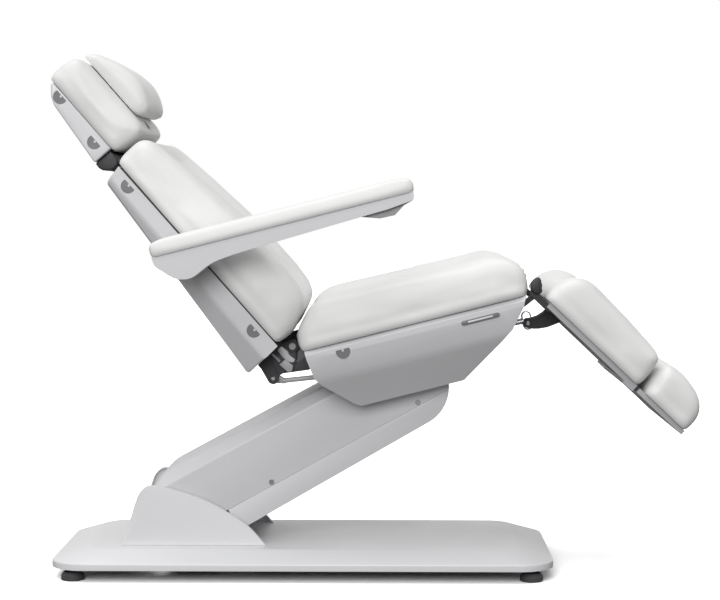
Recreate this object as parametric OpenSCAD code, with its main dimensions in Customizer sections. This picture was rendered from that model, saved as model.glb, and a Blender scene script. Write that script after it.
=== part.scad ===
// Electric facial bed: base, lifting arm, tilting seat, reclining back with
// headrest and armrests, and a folding leg rest with a sliding foot section.
// +X points to the foot end, -Y is the side nearer the viewer, +Z is up.
// Each padded section is drawn flat in a frame of its own: +x to the foot end,
// +z to the padding, with the origin on its hinge, and is then turned into place.

/* [Posture] */
// Rise of the lifting arm above level
lift_angle = 28.8; // [14:0.1:48]
// Middle of the lifting arm's travel, which its linkage is laid out for
lift_mid = 31; // [28:0.1:34]
// Tilt of the seat, front end up
seat_tilt = 14.2; // [0:0.1:18]
// Middle of the seat's tilt travel
tilt_mid = 9.6; // [6:0.1:12]
// How far the back is raised from flat
back_fold = 63; // [20:0.5:63]
// How far the leg rest hangs below flat
leg_drop = 57.7; // [10:0.1:75]

/* [Base] */
// Length of the base cover
base_len = 1200; // [1150:10:1300]
// From the middle of a foot to the side of the base cover
foot_edge = 49; // [42:1:60]
// Distance of the base's middle behind the origin
base_back = 170; // [150:5:200]
// Height of the base cover's top
base_top = 73; // [70:1:80]
// Height of the base cover's lower edge
base_low = 30; // [26:1:34]
// Height of the upright lip round the base cover
lip_h = 16; // [12:1:20]
// Length of the slope at each end of the base cover
slope_x = 82; // [60:2:95]
// Width of the slope at each side of the base cover
slope_y = 58; // [40:2:62]
// Corner radius of the base cover
base_corner = 85; // [60:5:110]
// Wall of the base cover
base_wall = 4; // [3:0.5:5]
// Radius of a levelling foot
foot_r = 27.5; // [22:0.5:32]
// Height of a levelling foot's pad
foot_h = 20; // [14:1:24]
// Distance between the front and rear feet
foot_span_x = 1092; // [1040:4:1110]
// Distance between the left and right feet
foot_span_y = 432; // [400:4:450]
// Height of the steel rails of the base
base_rail_h = 26; // [20:1:30]
// Width of the steel rails of the base
base_rail_w = 40; // [30:1:50]

/* [Pedestal] */
// Distance of the lower arm pivot behind the base's middle
pivot_back = 273; // [260:1:290]
// Height of the lower arm pivot
pivot_h = 168; // [160:1:176]
// Length of a pedestal cheek at its foot
cheek_len = 346; // [330:2:370]
// Height of a pedestal cheek
cheek_h = 144; // [130:2:160]
// Distance from a cheek's rear foot to the pivot
cheek_rear = 162; // [150:2:170]
// Half of the width over both cheeks
cheek_half = 166; // [160:1:176]
// Depth of a cheek
cheek_depth = 14; // [10:1:16]
// Thickness of the pivot bracket's plates
bracket_t = 10; // [8:1:12]
// Half of the width over the pivot bracket
bracket_half = 98; // [94:1:100]

/* [Lifting arm] */
// Distance between the lifting arm's pivots
arm_len = 600; // [560:5:640]
// Half of the lifting arm's width
arm_half = 145; // [138:1:146]
// Radius of the lifting arm's lower end
arm_low_r = 105; // [98:1:108]
// Radius of the lifting arm's upper end
arm_high_r = 97; // [90:1:100]
// How far the lower end's centre lies under the pivot
arm_sag = 8; // [4:1:10]
// Distance of the seam between the arm covers under the pivots
arm_seam = 55; // [50:1:60]
// Size of the slope along the arm cover's upper edges
arm_bevel = 28; // [20:1:32]
// Wall of the moulded covers
cover_wall = 3; // [2.5:0.5:4]
// Thickness of the lifting arm's steel plates
arm_plate_t = 8; // [6:1:9]
// Half of the width between the lifting arm's steel plates
arm_plate_in = 104; // [103:1:106]
// Radius of the main axles
axle_r = 15; // [12:0.5:17]
// Radius of the link and crank pins
pin_r = 8; // [6:0.5:9]
// Offset of the levelling link from the arm's pivots
link_off = 58; // [54:1:60]
// Length of the crank that the lift motor pushes
lift_crank = 62; // [56:1:66]

/* [Seat] */
// Tilt axle, forward of the upper arm pivot
tilt_dx = -12; // [-18:1:-6]
// Tilt axle, above the upper arm pivot
tilt_dz = 122.5; // [118:0.5:128]
// Distance from the seat's rear seam to the tilt axle
tilt_u = 230; // [215:1:245]
// Depth of the tilt axle under the seat cushion
tilt_v = 30; // [28:1:31]
// Length of the crank that the tilt motor pushes
tilt_crank = 125; // [118:1:132]
// Length of the seat cushion
seat_len = 537; // [500:5:560]
// Width of the cushions
bed_w = 600; // [580:5:640]
// Thickness of the seat cushion at its side
seat_t = 108; // [95:1:115]
// Crown of the cushions in the middle
crown = 8; // [4:1:12]
// Thickness of the plywood boards
board_t = 12; // [9:1:15]
// Depth of the seat cover
seat_deep = 166; // [155:1:172]
// How far the seat cover's sides sit in from the cushions' sides
cover_in = 10; // [6:1:20]
// Half of the opening in the seat cover's belly
belly_half = 165; // [160:1:168]

/* [Back] */
// Back hinge, behind the seat's rear seam
back_hinge_u = 31; // [28:1:36]
// Back hinge, above the seat's seam
back_hinge_v = 12; // [8:1:14]
// Length of the back cushion
back_len = 582; // [550:5:610]
// Thickness of the back cushion in its lower part
back_t = 121; // [110:1:128]
// Depth of the back cover at its lower end
back_deep = 102; // [90:1:108]
// Depth of the back cover at its upper end
back_shallow = 53; // [48:1:60]
// Length of the crank that the back motor pulls
back_crank = 89.5; // [84:0.5:95]

/* [Headrest] */
// Head hinge, from the back hinge
head_hinge_u = 609; // [600:1:640]
// Head hinge, under the back hinge's plane
head_hinge_v = 36; // [32:1:40]
// Length of the head cushion
head_len = 226; // [210:2:250]
// Width of the head cushion
head_w = 470; // [420:5:500]
// Thickness of the head cushion
head_t = 87; // [76:1:92]
// Radius of the head hinge's barrel
barrel_r = 20; // [17:0.5:21]
// Length of the face pillow
pillow_len = 222; // [200:2:230]
// Width of the face pillow
pillow_w = 330; // [280:5:360]
// Height of the face pillow
pillow_t = 72; // [60:1:80]
// Width of the pillow's strap
strap_w = 60; // [40:2:80]
// Thickness of the pillow's strap
strap_t = 2.5; // [1.5:0.5:3]

/* [Armrests] */
// Armrest pivot, from the back hinge
rest_u = 298; // [285:1:310]
// Armrest pivot, under the back hinge's plane
rest_v = 36; // [30:1:40]
// Length of an armrest pad
pad_len = 620; // [560:5:640]
// Width of an armrest pad
pad_w = 104; // [80:2:120]
// Thickness of an armrest pad
pad_t = 37; // [28:1:44]
// Width of the armrest's shell
shell_w = 84; // [70:2:96]
// From the cushions' sides out to the middle of an armrest
rest_out = 72; // [66:1:90]
// Distance from the armrest pivot forward to the pad's front end
pad_front = 539; // [500:5:560]
// Height of the pad's seam over the armrest pivot
pad_seam = 37; // [34:1:42]

/* [Leg rest] */
// Leg hinge, from the seat's rear seam
leg_hinge_u = 562; // [558:1:600]
// Leg hinge, above the seat's seam
leg_hinge_v = 15; // [10:1:18]
// Length from the leg hinge to the end of the leg cushion
leg_len = 335; // [310:5:360]
// Thickness of the leg cushion at the knee
leg_t = 99; // [85:1:105]
// Depth of the leg cushion's underside below the hinge
leg_under = 7; // [5:1:9]
// Length of the foot cushion
foot_len = 152; // [130:2:180]
// Thickness of the leg rest's steel
leg_steel = 13; // [10:1:16]
// Leg lever's pin, forward of the leg hinge
lever_u = 58; // [54:1:62]
// Leg lever's pin, below the leg hinge
lever_v = 78; // [74:1:82]

/* [Hidden] */
$fn = 48;

white = "whitesmoke";
shade = "gainsboro";
steel = "dimgray";
dark = "darkslategray";
bright = "silver";

// General clearances and overrun
base_w = foot_span_y + 2 * foot_edge;
tub_half = bed_w / 2 - cover_in;
rest_mid = bed_w / 2 + rest_out;
fit = 0.05;        // radial play of a pin in its bore
seat_gap = 0.3;    // between a soft piece and what carries it
run_gap = 1;       // between parts that pass each other
open_gap = 1.5;    // play of a motor's fork on its crank pin
over = 1;          // overrun of a cut
skin = 0.1;        // thickness of the levels that a tub is stretched over
tuck = 0.03;       // a strut's sides, inside its ends' tangents

// Places that follow from the sizes
pivot_x = -base_back - pivot_back;
high_x = pivot_x + arm_len * cos(lift_angle);
high_z = pivot_h + arm_len * sin(lift_angle);
tilt_x = high_x + tilt_dx;
tilt_z = high_z + tilt_dz;
seat_x = tilt_x - tilt_u * cos(seat_tilt) - tilt_v * sin(seat_tilt);
seat_z = tilt_z - tilt_u * sin(seat_tilt) + tilt_v * cos(seat_tilt);

// Basic moves
module turn(a) rotate([0, -a, 0]) children();
module at_low() translate([pivot_x, 0, pivot_h]) children();
module at_arm() at_low() turn(lift_angle) children();
module at_high() translate([high_x, 0, high_z]) children();
module at_seat() translate([seat_x, 0, seat_z]) turn(seat_tilt) children();
module at_back() at_seat() translate([-back_hinge_u, 0, back_hinge_v]) turn(-back_fold) children();
module at_head() at_back() translate([-head_hinge_u, 0, -head_hinge_v]) children();
module at_rest(side) at_back() translate([-rest_u, side * rest_mid, -rest_v]) turn(back_fold) children();
module at_leg() at_seat() translate([leg_hinge_u, 0, leg_hinge_v]) turn(-leg_drop) children();

// A flat outline in x and z, thickened across the bed about y
module slab(w, y = 0) translate([0, y + w / 2, 0]) rotate([90, 0, 0]) linear_extrude(w) children();
// A round bar across the bed
module bar(r, w, p = [0, 0], y = 0)
  translate([p[0], y, p[1]]) rotate([90, 0, 0]) cylinder(r = r, h = w, center = true);
// A box given by its low and high corners
module block(a, b) translate(a) cube(b - a);
// A flat strut: two round ends joined by their tangents, drawn in a little so
// that each side crosses the round ends
module strut(a, ra, b, rb) {
  t = atan2(b[1] - a[1], b[0] - a[0]);
  s = acos((ra - rb) / norm(b - a));
  low = [cos(t - s), sin(t - s)];
  high = [cos(t + s), sin(t + s)];
  translate(a) circle(ra);
  translate(b) circle(rb);
  polygon([a + (ra - tuck) * high, b + (rb - tuck) * high, b + (rb - tuck) * low, a + (ra - tuck) * low]);
}
// A piece and its mirror image on the other side of the bed
module both() {
  children();
  mirror([0, 1, 0]) children();
}

// Outline helpers
function place(shares, size, at = [0, 0]) = [for (s = shares) [at[0] + s[0] * size[0],
  at[1] + s[1] * size[1]]];
function bend(a, b, c, d, t) = let (
  l = norm(c - b),
  m = l * (c - a) / norm(c - a),
  q = l * (d - b) / norm(d - b),
  t2 = t * t,
  t3 = t2 * t)
  (2 * t3 - 3 * t2 + 1) * b + (t3 - 2 * t2 + t) * m + (3 * t2 - 2 * t3) * c + (t3 - t2) * q;
function smooth(p, k = 2) = let (n = len(p), low = min([for (q = p) q[1]])) [
  for (i = [0:n - 1], j = [0:k - 1])
    let (q = bend(p[(i + n - 1) % n], p[i], p[(i + 1) % n], p[(i + 2) % n], j / k)) [q[0], max(q[1], low)]];

// A cushion from its side outline, taken anticlockwise: crowned on top, with
// rounded edges, sides drawn in between the corners and a soft bulge at each side
module cushion(p, w, r, rise, draw, swell) {
  n = len(p);
  xs = [for (q = p) q[0]];
  zs = [for (q = p) q[1]];
  mid = [(min(xs) + max(xs)) / 2, (min(zs) + max(zs)) / 2];
  reach = (max(xs) - min(xs)) / 2;
  half = (max(zs) - min(zs)) / 2;
  turns = [90, 60, 30, 0];
  inner_shares = [-0.5, 0, 0.5];
  flat = w / 2 - r;
  rings = concat(
    [for (a = turns) [-flat - r * sin(a), r * (1 - cos(a))]],
    [for (s = inner_shares) [s * flat, 0]],
    [for (i = [3:-1:0]) [flat + r * sin(turns[i]), r * (1 - cos(turns[i]))]]);
  m = len(rings);
  points = concat(
    [for (g = rings, q = p) let (
      s = [min(max(q[0], mid[0] - reach + half), mid[0] + reach - half), mid[1]],
      d = q - s,
      k = s + d * (1 - g[1] / norm(d)),
      along = 1 - pow((k[0] - mid[0]) / reach, 2),
      up = max(0, (k[1] - mid[1]) / half),
      across = 1 - pow(2 * g[0] / w, 2))
      [k[0], g[0] * (1 - 2 * draw / w * along), k[1] + rise * up * across * along]],
    [[mid[0], -w / 2 - swell + draw, mid[1]], [mid[0], w / 2 + swell - draw, mid[1]]]);
  faces = concat(
    [for (j = [0:m - 2], i = [0:n - 1]) let (a = j * n, k = (i + 1) % n) [a + i, a + k, a + n + k]],
    [for (j = [0:m - 2], i = [0:n - 1]) let (a = j * n, k = (i + 1) % n) [a + i, a + n + k, a + n + i]],
    [for (i = [0:n - 1]) [m * n, (i + 1) % n, i]],
    [for (i = [0:n - 1]) let (a = (m - 1) * n) [m * n + 1, a + i, a + (i + 1) % n]]);
  polyhedron(points, faces, convexity = 4);
}

// A moulded shell stretched over levels: each level is [x low, x high, half width, z]
module levels(l) hull() for (g = l) translate([g[0], -g[2], g[3] - skin / 2])
  cube([g[1] - g[0], 2 * g[2], skin]);
// The hollow inside those levels, open at the top
function inside(l, t) = [for (i = [0:len(l) - 1]) let (g = l[i])
  [g[0] + t, g[1] - t, g[2] - t, i == 0 ? g[3] + over : max(g[3], l[len(l) - 1][3] + t)]];

// BASE
plate_low = base_low + 4 * over;
rail_top = plate_low + base_rail_h;
rail_in_share = 1.4;
rail_in = foot_span_y / 2 - rail_in_share * base_rail_w;
rail_out = rail_in + base_rail_w;
foot_x = [-base_back - foot_span_x / 2, -base_back + foot_span_x / 2];
stem_r = foot_r / 4;
link_pin = link_off * [-sin(lift_mid), cos(lift_mid)];
crank_pin = lift_crank * [sin(lift_mid), -cos(lift_mid)];
boss_r = 2 * axle_r + 2 * over;
lug_r = 2 * pin_r + 2 * over;
bracket_foot = [[-boss_r - 2 * lug_r, bracket_t], [boss_r + 3 * lug_r, bracket_t]];
bracket_in = bracket_half - bracket_t;
cheek_in = cheek_half - cheek_depth;
well_rear = arm_low_r + arm_sag;
well_front = arm_low_r + 2 * arm_sag;
inlet_size = [50, 20];
socket_size = [70, 20];
inlet_back = 120;   // inlet, ahead of the lower pivot
socket_r = 7.5;
socket_deep = 12;
socket_shares = [0.27, 0.73];   // places of the two sockets along their block
box_size = [220, 26];
box_front = 230;    // control box, ahead of the base's middle

module round_plate(l, w, r, h)
  linear_extrude(h) hull() for (x = [-1, 1], y = [-1, 1])
    translate([x * (l / 2 - r), y * (w / 2 - r)]) circle(r, $fn = 40);

module base_shell(in) hull() {
  translate([0, 0, base_low - (in > 0 ? over : 0)])
    round_plate(base_len - 2 * in, base_w - 2 * in, base_corner - in, lip_h + (in > 0 ? over : 0));
  translate([0, 0, base_top - in - skin])
    round_plate(base_len - 2 * slope_x - in, base_w - 2 * slope_y - in, base_corner - slope_y / 2, skin);
}

module base_cover() color(white) difference() {
  translate([-base_back, 0, 0]) base_shell(0);
  translate([-base_back, 0, 0]) base_shell(base_wall);
  block([pivot_x - well_rear, -cheek_in, base_low], [pivot_x + well_front, cheek_in, base_top + over]);
  block([pivot_x + inlet_back - inlet_size[0] / 2 - run_gap, foot_span_y / 2 + lug_r, base_low - over],
    [pivot_x + inlet_back + inlet_size[0] / 2 + socket_size[0] + 2 * run_gap, base_w,
      plate_low + inlet_size[1] + 3 * run_gap]);
}

module bracket_plate() slab(bracket_t) {
  hull() {
    circle(boss_r);
    translate([bracket_foot[0][0], plate_low + bracket_t - pivot_h])
      square([bracket_foot[1][0] - bracket_foot[0][0], bracket_t]);
  }
  strut([0, 0], boss_r, link_pin, lug_r);
}

module base_frame() color(steel) difference() {
  union() {
    both() block([foot_x[0] + lug_r, rail_in, plate_low], [foot_x[1] - lug_r, rail_out, rail_top]);
    for (x = foot_x) block([x - base_rail_w / 2, -foot_span_y / 2 - lug_r, plate_low],
      [x + base_rail_w / 2, foot_span_y / 2 + lug_r, base_low + lip_h]);
    block([pivot_x + bracket_foot[0][0], -rail_out, plate_low],
      [pivot_x + bracket_foot[1][0], rail_out, plate_low + bracket_t]);
    at_low() both() translate([0, bracket_half - bracket_t / 2, 0]) bracket_plate();
    for (x = [foot_x[0] + slope_x + base_rail_w, foot_x[1] - slope_x - base_rail_w])
      both() block([x, rail_in, rail_top], [x + base_rail_w, rail_out, base_top - base_wall]);
  }
  at_low() bar(axle_r + fit, 2 * bracket_half + 2 * over);
  at_low() bar(pin_r + fit, 2 * bracket_half + 2 * over, link_pin);
  at_low() bar(pin_r + fit, 2 * bracket_half + 2 * over, crank_pin);
  for (x = foot_x, y = [-1, 1]) translate([x, y * foot_span_y / 2, plate_low - over])
    cylinder(r = stem_r + fit, h = base_rail_h + 2 * over);
}

foot_shares_up = [0.6, 0.8];     // height of a foot's side, and radius of its top
module levelling_feet() color(dark) for (x = foot_x, y = [-1, 1]) translate([x, y * foot_span_y / 2, 0]) {
  rotate_extrude() polygon([[0, 0], [foot_r - 2 * over, 0], [foot_r, 2 * over],
    [foot_r, foot_h * foot_shares_up[0]],
    [foot_r * foot_shares_up[1], foot_h], [stem_r, foot_h], [stem_r, plate_low - 6 * over],
      [2 * stem_r, plate_low - 6 * over],
    [2 * stem_r, plate_low], [stem_r, plate_low], [stem_r, base_low + lip_h], [0, base_low + lip_h]]);
}

cheek_shares = [[0, 0], [0.006, 0.045], [0.05, 0.38], [0.107, 0.81], [0.142, 0.94], [0.194, 1],
  [0.306, 0.965],
  [0.454, 0.861], [0.613, 0.715], [0.757, 0.52], [0.882, 0.3125], [0.985, 0.04], [1, 0], [0.98, 0],
    [0.02, 0]];
module cheek_cover() {
  outline = smooth(place(cheek_shares, [cheek_len, cheek_h], [-cheek_rear, base_top - pivot_h]), 3);
  at_low() difference() {
    translate([0, cheek_half - cheek_depth / 2, 0]) slab(cheek_depth) polygon(outline);
    translate([0, cheek_half - cheek_depth / 2 - cover_wall, 0]) slab(cheek_depth)
      offset(delta = -cover_wall) polygon(outline);
  }
}
module left_cheek_cover() color(white) cheek_cover();
module right_cheek_cover() color(white) mirror([0, 1, 0]) cheek_cover();

module control_box() color(dark) block([-base_back + box_front, -rail_in, plate_low],
  [-base_back + box_front + box_size[0], rail_in, plate_low + box_size[1]]);

module mains_inlet() color(dark) difference() {
  a = [pivot_x + inlet_back - inlet_size[0] / 2, rail_out, plate_low];
  b = [a[0] + inlet_size[0], foot_span_y / 2 + lug_r, plate_low + inlet_size[1]];
  block(a, b);
  block([a[0] + inlet_size[1] / 2, b[1] - socket_deep, a[2] + 4 * over],
    [b[0] - inlet_size[1] / 2, b[1] + over, b[2] - 4 * over]);
}

module control_sockets() color(dark) difference() {
  a = [pivot_x + inlet_back + inlet_size[0] / 2 + seat_gap, rail_out, plate_low];
  b = [a[0] + socket_size[0], foot_span_y / 2 + lug_r, plate_low + socket_size[1]];
  block(a, b);
  for (s = socket_shares) translate([a[0] + s * socket_size[0], b[1] - socket_deep, (a[2] + b[2]) / 2])
    rotate([-90, 0, 0]) cylinder(r = socket_r, h = socket_deep + over);
}

module pedestal_pins() color(bright) at_low() {
  bar(axle_r, 2 * (arm_plate_in + arm_plate_t) + 4 * over);
  bar(pin_r, 2 * bracket_half, link_pin);
  bar(pin_r, 2 * bracket_half, crank_pin);
}

// LIFTING ARM
lift_reach = 20;    // the arm's swing to each side of its middle
bush_r = axle_r + 5 * over;
plate_r = 2 * axle_r + 10 * over;
arm_ribs = [arm_len / 3, arm_len * 2 / 3];
rib_r = axle_r + 3 * over;
lift_play = lift_crank * (1 - cos(lift_reach));
motor_v = lift_crank - lift_play / 2;
motor_tail_share = 0.815;
motor_tail = arm_len * motor_tail_share;
motor_r = 22;
rod_r = 11;
motor_block = [70, 32, 28];

module arm_outline(low_r, high_r) hull() {
  translate([0, -arm_sag]) circle(low_r, $fn = 64);
  translate([arm_len, -arm_sag / 2]) circle(high_r, $fn = 64);
}
module arm_body(t) hull() {
  slab(2 * (arm_half - arm_bevel - t)) arm_outline(arm_low_r - t, arm_high_r - t);
  slab(2 * (arm_half - t)) intersection() {
    arm_outline(arm_low_r - t, arm_high_r - t);
    translate([-arm_len, -arm_len]) square([3 * arm_len, arm_len + arm_low_r - arm_sag - arm_bevel - t]);
  }
}

module arm_upper_cover() color(white) at_arm() difference() {
  arm_body(0);
  arm_body(cover_wall);
  block([-arm_len, -arm_len, -arm_len], [2 * arm_len, arm_len, -arm_seam]);
  block([arm_len - arm_high_r - 2 * lug_r, run_gap - arm_plate_in, 0],
    [arm_len + arm_high_r + over, arm_plate_in - run_gap, arm_low_r]);
  block([arm_len, run_gap - arm_plate_in, -arm_seam - over],
    [arm_len + arm_high_r + over, arm_plate_in - run_gap, arm_low_r]);
  block([-arm_low_r - over, run_gap - arm_plate_in, -arm_seam - over],
    [arm_low_r, arm_plate_in - run_gap, -arm_sag / 2]);
}

low_cut_share = 0.72;            // end of the lower cover, short of the pivot
module arm_lower_cover() color(shade) at_arm() difference() {
  arm_body(0);
  arm_body(cover_wall);
  block([-arm_len, -arm_len, -arm_seam], [2 * arm_len, arm_len, arm_len]);
  block([-arm_len, -arm_len, -arm_len], [arm_low_r * low_cut_share, arm_len, over]);
}

module arm_frame() color(steel) at_arm() difference() {
  union() {
    both() translate([0, arm_plate_in + arm_plate_t / 2, 0]) slab(arm_plate_t) {
      strut([0, 0], plate_r, [arm_len, 0], plate_r);
      strut([motor_tail, 0], lug_r, [motor_tail, -motor_v], lug_r);
    }
    for (u = arm_ribs) bar(rib_r, 2 * (arm_half - cover_wall), [u, 0]);
    bar(pin_r, 2 * (arm_plate_in + arm_plate_t), [motor_tail, -motor_v]);
  }
  for (u = [0, arm_len]) bar(bush_r, 2 * arm_len, [u, 0]);
}

module arm_bushes() color("goldenrod") at_arm() both() for (u = [0, arm_len]) difference() {
  union() {
    bar(bush_r, arm_plate_t, [u, 0], arm_plate_in + arm_plate_t / 2);
    bar(bush_r + 4 * over, arm_plate_in - bracket_half - run_gap, [u, 0],
      (arm_plate_in + bracket_half + run_gap) / 2);
  }
  bar(axle_r + fit, 4 * arm_plate_in, [u, 0]);
}

module lift_motor() color(dark) at_arm() translate([0, 0, -motor_v]) difference() {
  union() {
    translate([arm_ribs[0], 0, 0]) rotate([0, 90, 0])
      cylinder(r = motor_r, h = motor_tail - arm_ribs[0] - lug_r);
    block([motor_tail - lug_r - motor_block[0], -motor_block[1], -motor_block[2]],
      [motor_tail - lug_r, motor_block[1], motor_block[2] - motor_r]);
    slab(motor_block[1]) translate([motor_tail - lug_r, -lug_r]) square([2 * lug_r, 2 * lug_r]);
  }
  translate([arm_ribs[0] - over, 0, 0]) rotate([0, 90, 0])
    cylinder(r = rod_r + fit, h = motor_tail - arm_ribs[0] - 3 * lug_r);
  bar(pin_r + fit, 4 * motor_r, [motor_tail, 0]);
}

// A motor's rod along x with a fork: the slot lets the crank pin move from low to high
fork_wall = 5;
module fork_rod(low, high, w, gap, r, end) {
  e = pin_r + gap;
  x = e + fork_wall;
  difference() {
    block([-x, -w / 2, low - e - fork_wall], [x, w / 2, high + e + fork_wall]);
    block([-e, -w, low - e], [e, w, high + e]);
  }
  a = end > 0 ? x - fork_wall / 2 : end;
  b = end > 0 ? end : fork_wall / 2 - x;
  translate([a, 0, (low + high) / 2]) rotate([0, 90, 0]) cylinder(r = r, h = b - a);
}

lift_swing = lift_angle - lift_mid;
lift_u = -lift_crank * sin(lift_swing);
fork_w = 24;
module lift_rod() color(bright) at_arm() translate([lift_u, 0, 0])
  fork_rod(-lift_crank, lift_play - lift_crank, fork_w, open_gap / 2, rod_r,
    arm_ribs[0] + 2 * motor_block[0]);

screw_shares = [0.8, 0.35];      // head and socket of a cover screw, of a pin's radius
module arm_cover_screws() color(bright) at_arm() both()
  for (u = [arm_ribs[0], arm_len + 2 * over]) difference() {
    bar(pin_r * screw_shares[0], 2 * over, [u, -arm_seam + pin_r + over], arm_half + over);
    bar(pin_r * screw_shares[1], 2 * over, [u, -arm_seam + pin_r + over], arm_half + 2 * over);
  }

link_w = 16;
tang_share = 1.5;                // half height of a flat tang, of a pin's radius
module levelling_link() color(steel) at_low() translate([link_pin[0], 0, link_pin[1]]) turn(lift_angle)
  difference() {
  union() {
    block([0, -link_w / 2, -pin_r * tang_share], [arm_len, link_w / 2, pin_r * tang_share]);
    for (u = [0, arm_len]) bar(2 * pin_r, link_w, [u, 0]);
  }
  bar(pin_r + fit, 2 * link_w, [0, 0]);
  bar(pin_r + seat_gap, 2 * link_w, [arm_len, 0]);
}

// CARRIER
tilt_pin = [tilt_dx, tilt_dz];
tilt_motor_size = [28, 64];
mount_share = 0.55;             // the tilt motor's mount, down its height
tilt_drop = 44;                 // from the tilt motor's crank pin down to its top
tilt_swing = seat_tilt - tilt_mid;
tilt_fork = tilt_crank * (1 + cos(tilt_mid)) / 2;
tilt_lug_r = tilt_v - board_t - run_gap;
rod_reach = 84;                 // from the tilt motor's fork down to its rod's end
stub_in = rod_r + 3 * over;
tilt_axle_r = pin_r + 2 * over;
mount_w = tilt_drop + tilt_motor_size[1] * mount_share;
motor_place = tilt_pin + tilt_fork * [cos(tilt_mid), sin(tilt_mid)] + mount_w * [sin(tilt_mid),
  -cos(tilt_mid)];
module at_tilt() translate([tilt_x, 0, tilt_z]) turn(tilt_mid) children();

module carrier_plate() slab(bracket_t) {
  strut([0, 0], boss_r, tilt_pin, tilt_lug_r);
  strut([0, 0], boss_r, link_pin, lug_r);
  strut(tilt_pin, tilt_lug_r, motor_place, lug_r);
}

module seat_carrier() color(steel) at_high() difference() {
  union() {
    both() translate([0, bracket_half - bracket_t / 2, 0]) carrier_plate();
    bar(rib_r, 2 * bracket_in, tilt_pin + [0, -2 * rib_r]);
  }
  bar(axle_r + fit, 4 * bracket_half);
  bar(pin_r + fit, 4 * bracket_half, link_pin);
  bar(tilt_axle_r + fit, 4 * bracket_half, tilt_pin);
  bar(pin_r + fit, 4 * bracket_half, motor_place);
}

rail_seat_in = belly_half + 5 * over;
rail_seat_w = 30;
module carrier_pins() color(bright) at_high() {
  bar(axle_r, 2 * (arm_plate_in + arm_plate_t) + 4 * over);
  bar(pin_r, 2 * bracket_half, link_pin);
  bar(tilt_axle_r, 2 * (rail_seat_in + rail_seat_w), tilt_pin);
  both() bar(pin_r, bracket_half - stub_in, motor_place, (bracket_half + stub_in) / 2);
}

module tilt_motor() color(dark) at_tilt() translate([tilt_fork, 0, -tilt_drop]) difference() {
  union() {
    translate([0, 0, -tilt_motor_size[1]]) cylinder(r = tilt_motor_size[0], h = tilt_motor_size[1]);
    translate([0, 0, -tilt_motor_size[1] * mount_share]) rotate([90, 0, 0])
      cylinder(r = lug_r, h = 2 * bracket_in - 2 * run_gap, center = true);
  }
  translate([0, 0, -tilt_motor_size[1] + 2 * over]) cylinder(r = rod_r + fit, h = tilt_motor_size[1]);
  bar(pin_r + fit, 4 * bracket_half, [0, -tilt_motor_size[1] * mount_share]);
}

module tilt_rod() color(bright) at_tilt() translate([0, 0, tilt_crank * sin(tilt_swing)]) rotate([0, 90, 0])
  fork_rod(tilt_crank * cos(tilt_mid), tilt_crank, fork_w, open_gap / 2, rod_r, rod_reach);

// SEAT
rail_deep = 42;
cross_deep = 34;
cross_w = 25;
ear_r = 14;
front_ear_r = 12;
front_ear_in = 240;
front_ear_w = 18;
rear_elbow = [front_ear_r - back_hinge_u - 3 * over, -board_t - front_ear_r + 2 * over];
front_elbow = [leg_hinge_u - 2 * pin_r, -pin_r - 2 * over];
front_bar_r = 6;
board_in = 30;                           // from the cushions' sides in to the boards' edges
board_half = bed_w / 2 - board_in;
board_back = 10;
board_front = 518;
low_elbow = [board_front + front_bar_r, -board_t - front_bar_r - 2 * over];
rail_back = 20;
rail_front = 498;
leg_pin_u = 262;                         // leg motor's tail pin, from the leg hinge
cross_share = 1.6;
cross_u = [rail_back, leg_hinge_u - leg_pin_u - cross_w / 2, tilt_u + tilt_crank + cross_share * cross_w];
lug_t = 8;
lug_in = fork_w / 2 + 2 * over;
back_lane = rail_seat_in + 6 * over;     // middle of the back motor's lane
leg_lane = 128;                          // middle of the leg motor's lane
fork_thin = 12;
lever_t = 8;
lever_in = fork_thin / 2 + 4 * over;     // from a lane's middle to its lever plates
wide_gap = 2.7;                          // play of the back and leg motors' forks
back_pin_angle = -71.8;                  // of the lever's pin, with the back flat
back_pin = back_crank * [cos(back_pin_angle), sin(back_pin_angle)];
back_slope = 8;
leg_slope = 3;
leg_crank = norm([lever_u, lever_v]);
leg_pin_angle = -atan2(lever_v, lever_u);
motor_pin_u = 350;                       // back motor's tail pin, from the back hinge
back_motor_r = 25;
tube_r = 18;
slim_r = 9;

// Frames of the two motors, with x along the rod and the origin on the hinge
module at_back_motor() at_seat() translate([-back_hinge_u, -back_lane, back_hinge_v]) turn(-back_slope)
  children();
module at_leg_motor() at_seat() translate([leg_hinge_u, -leg_lane, leg_hinge_v]) turn(-leg_slope) children();
back_turned = back_pin_angle - back_fold + back_slope;
back_slot = [-back_crank, -back_crank * cos(back_fold / 2 + back_slope / 2 + over)];
back_axis = (back_slot[0] + back_slot[1]) / 2;
leg_turned = leg_pin_angle - leg_drop + leg_slope;
leg_slot = [-leg_crank, leg_crank * sin(leg_pin_angle + leg_slope)];
leg_axis = (leg_slot[0] + leg_slot[1]) / 2;
function swung(p, a) = [p[0] * cos(a) - p[1] * sin(a), p[0] * sin(a) + p[1] * cos(a)];
back_tail = [-back_hinge_u, back_hinge_v] + swung([motor_pin_u, back_axis], -back_slope);
leg_tail = [leg_hinge_u, leg_hinge_v] + swung([-leg_pin_u, leg_axis], -leg_slope);
tilt_seat = [tilt_u, -tilt_v];
tilt_crank_pin = [tilt_u + tilt_crank, -tilt_v];

// Plates in pairs at both sides of a motor's lane
module lane(y, w = lever_t) for (s = [-1, 1]) translate([0, -y + s * (lever_in + w / 2), 0]) slab(w)
  children();

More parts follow.
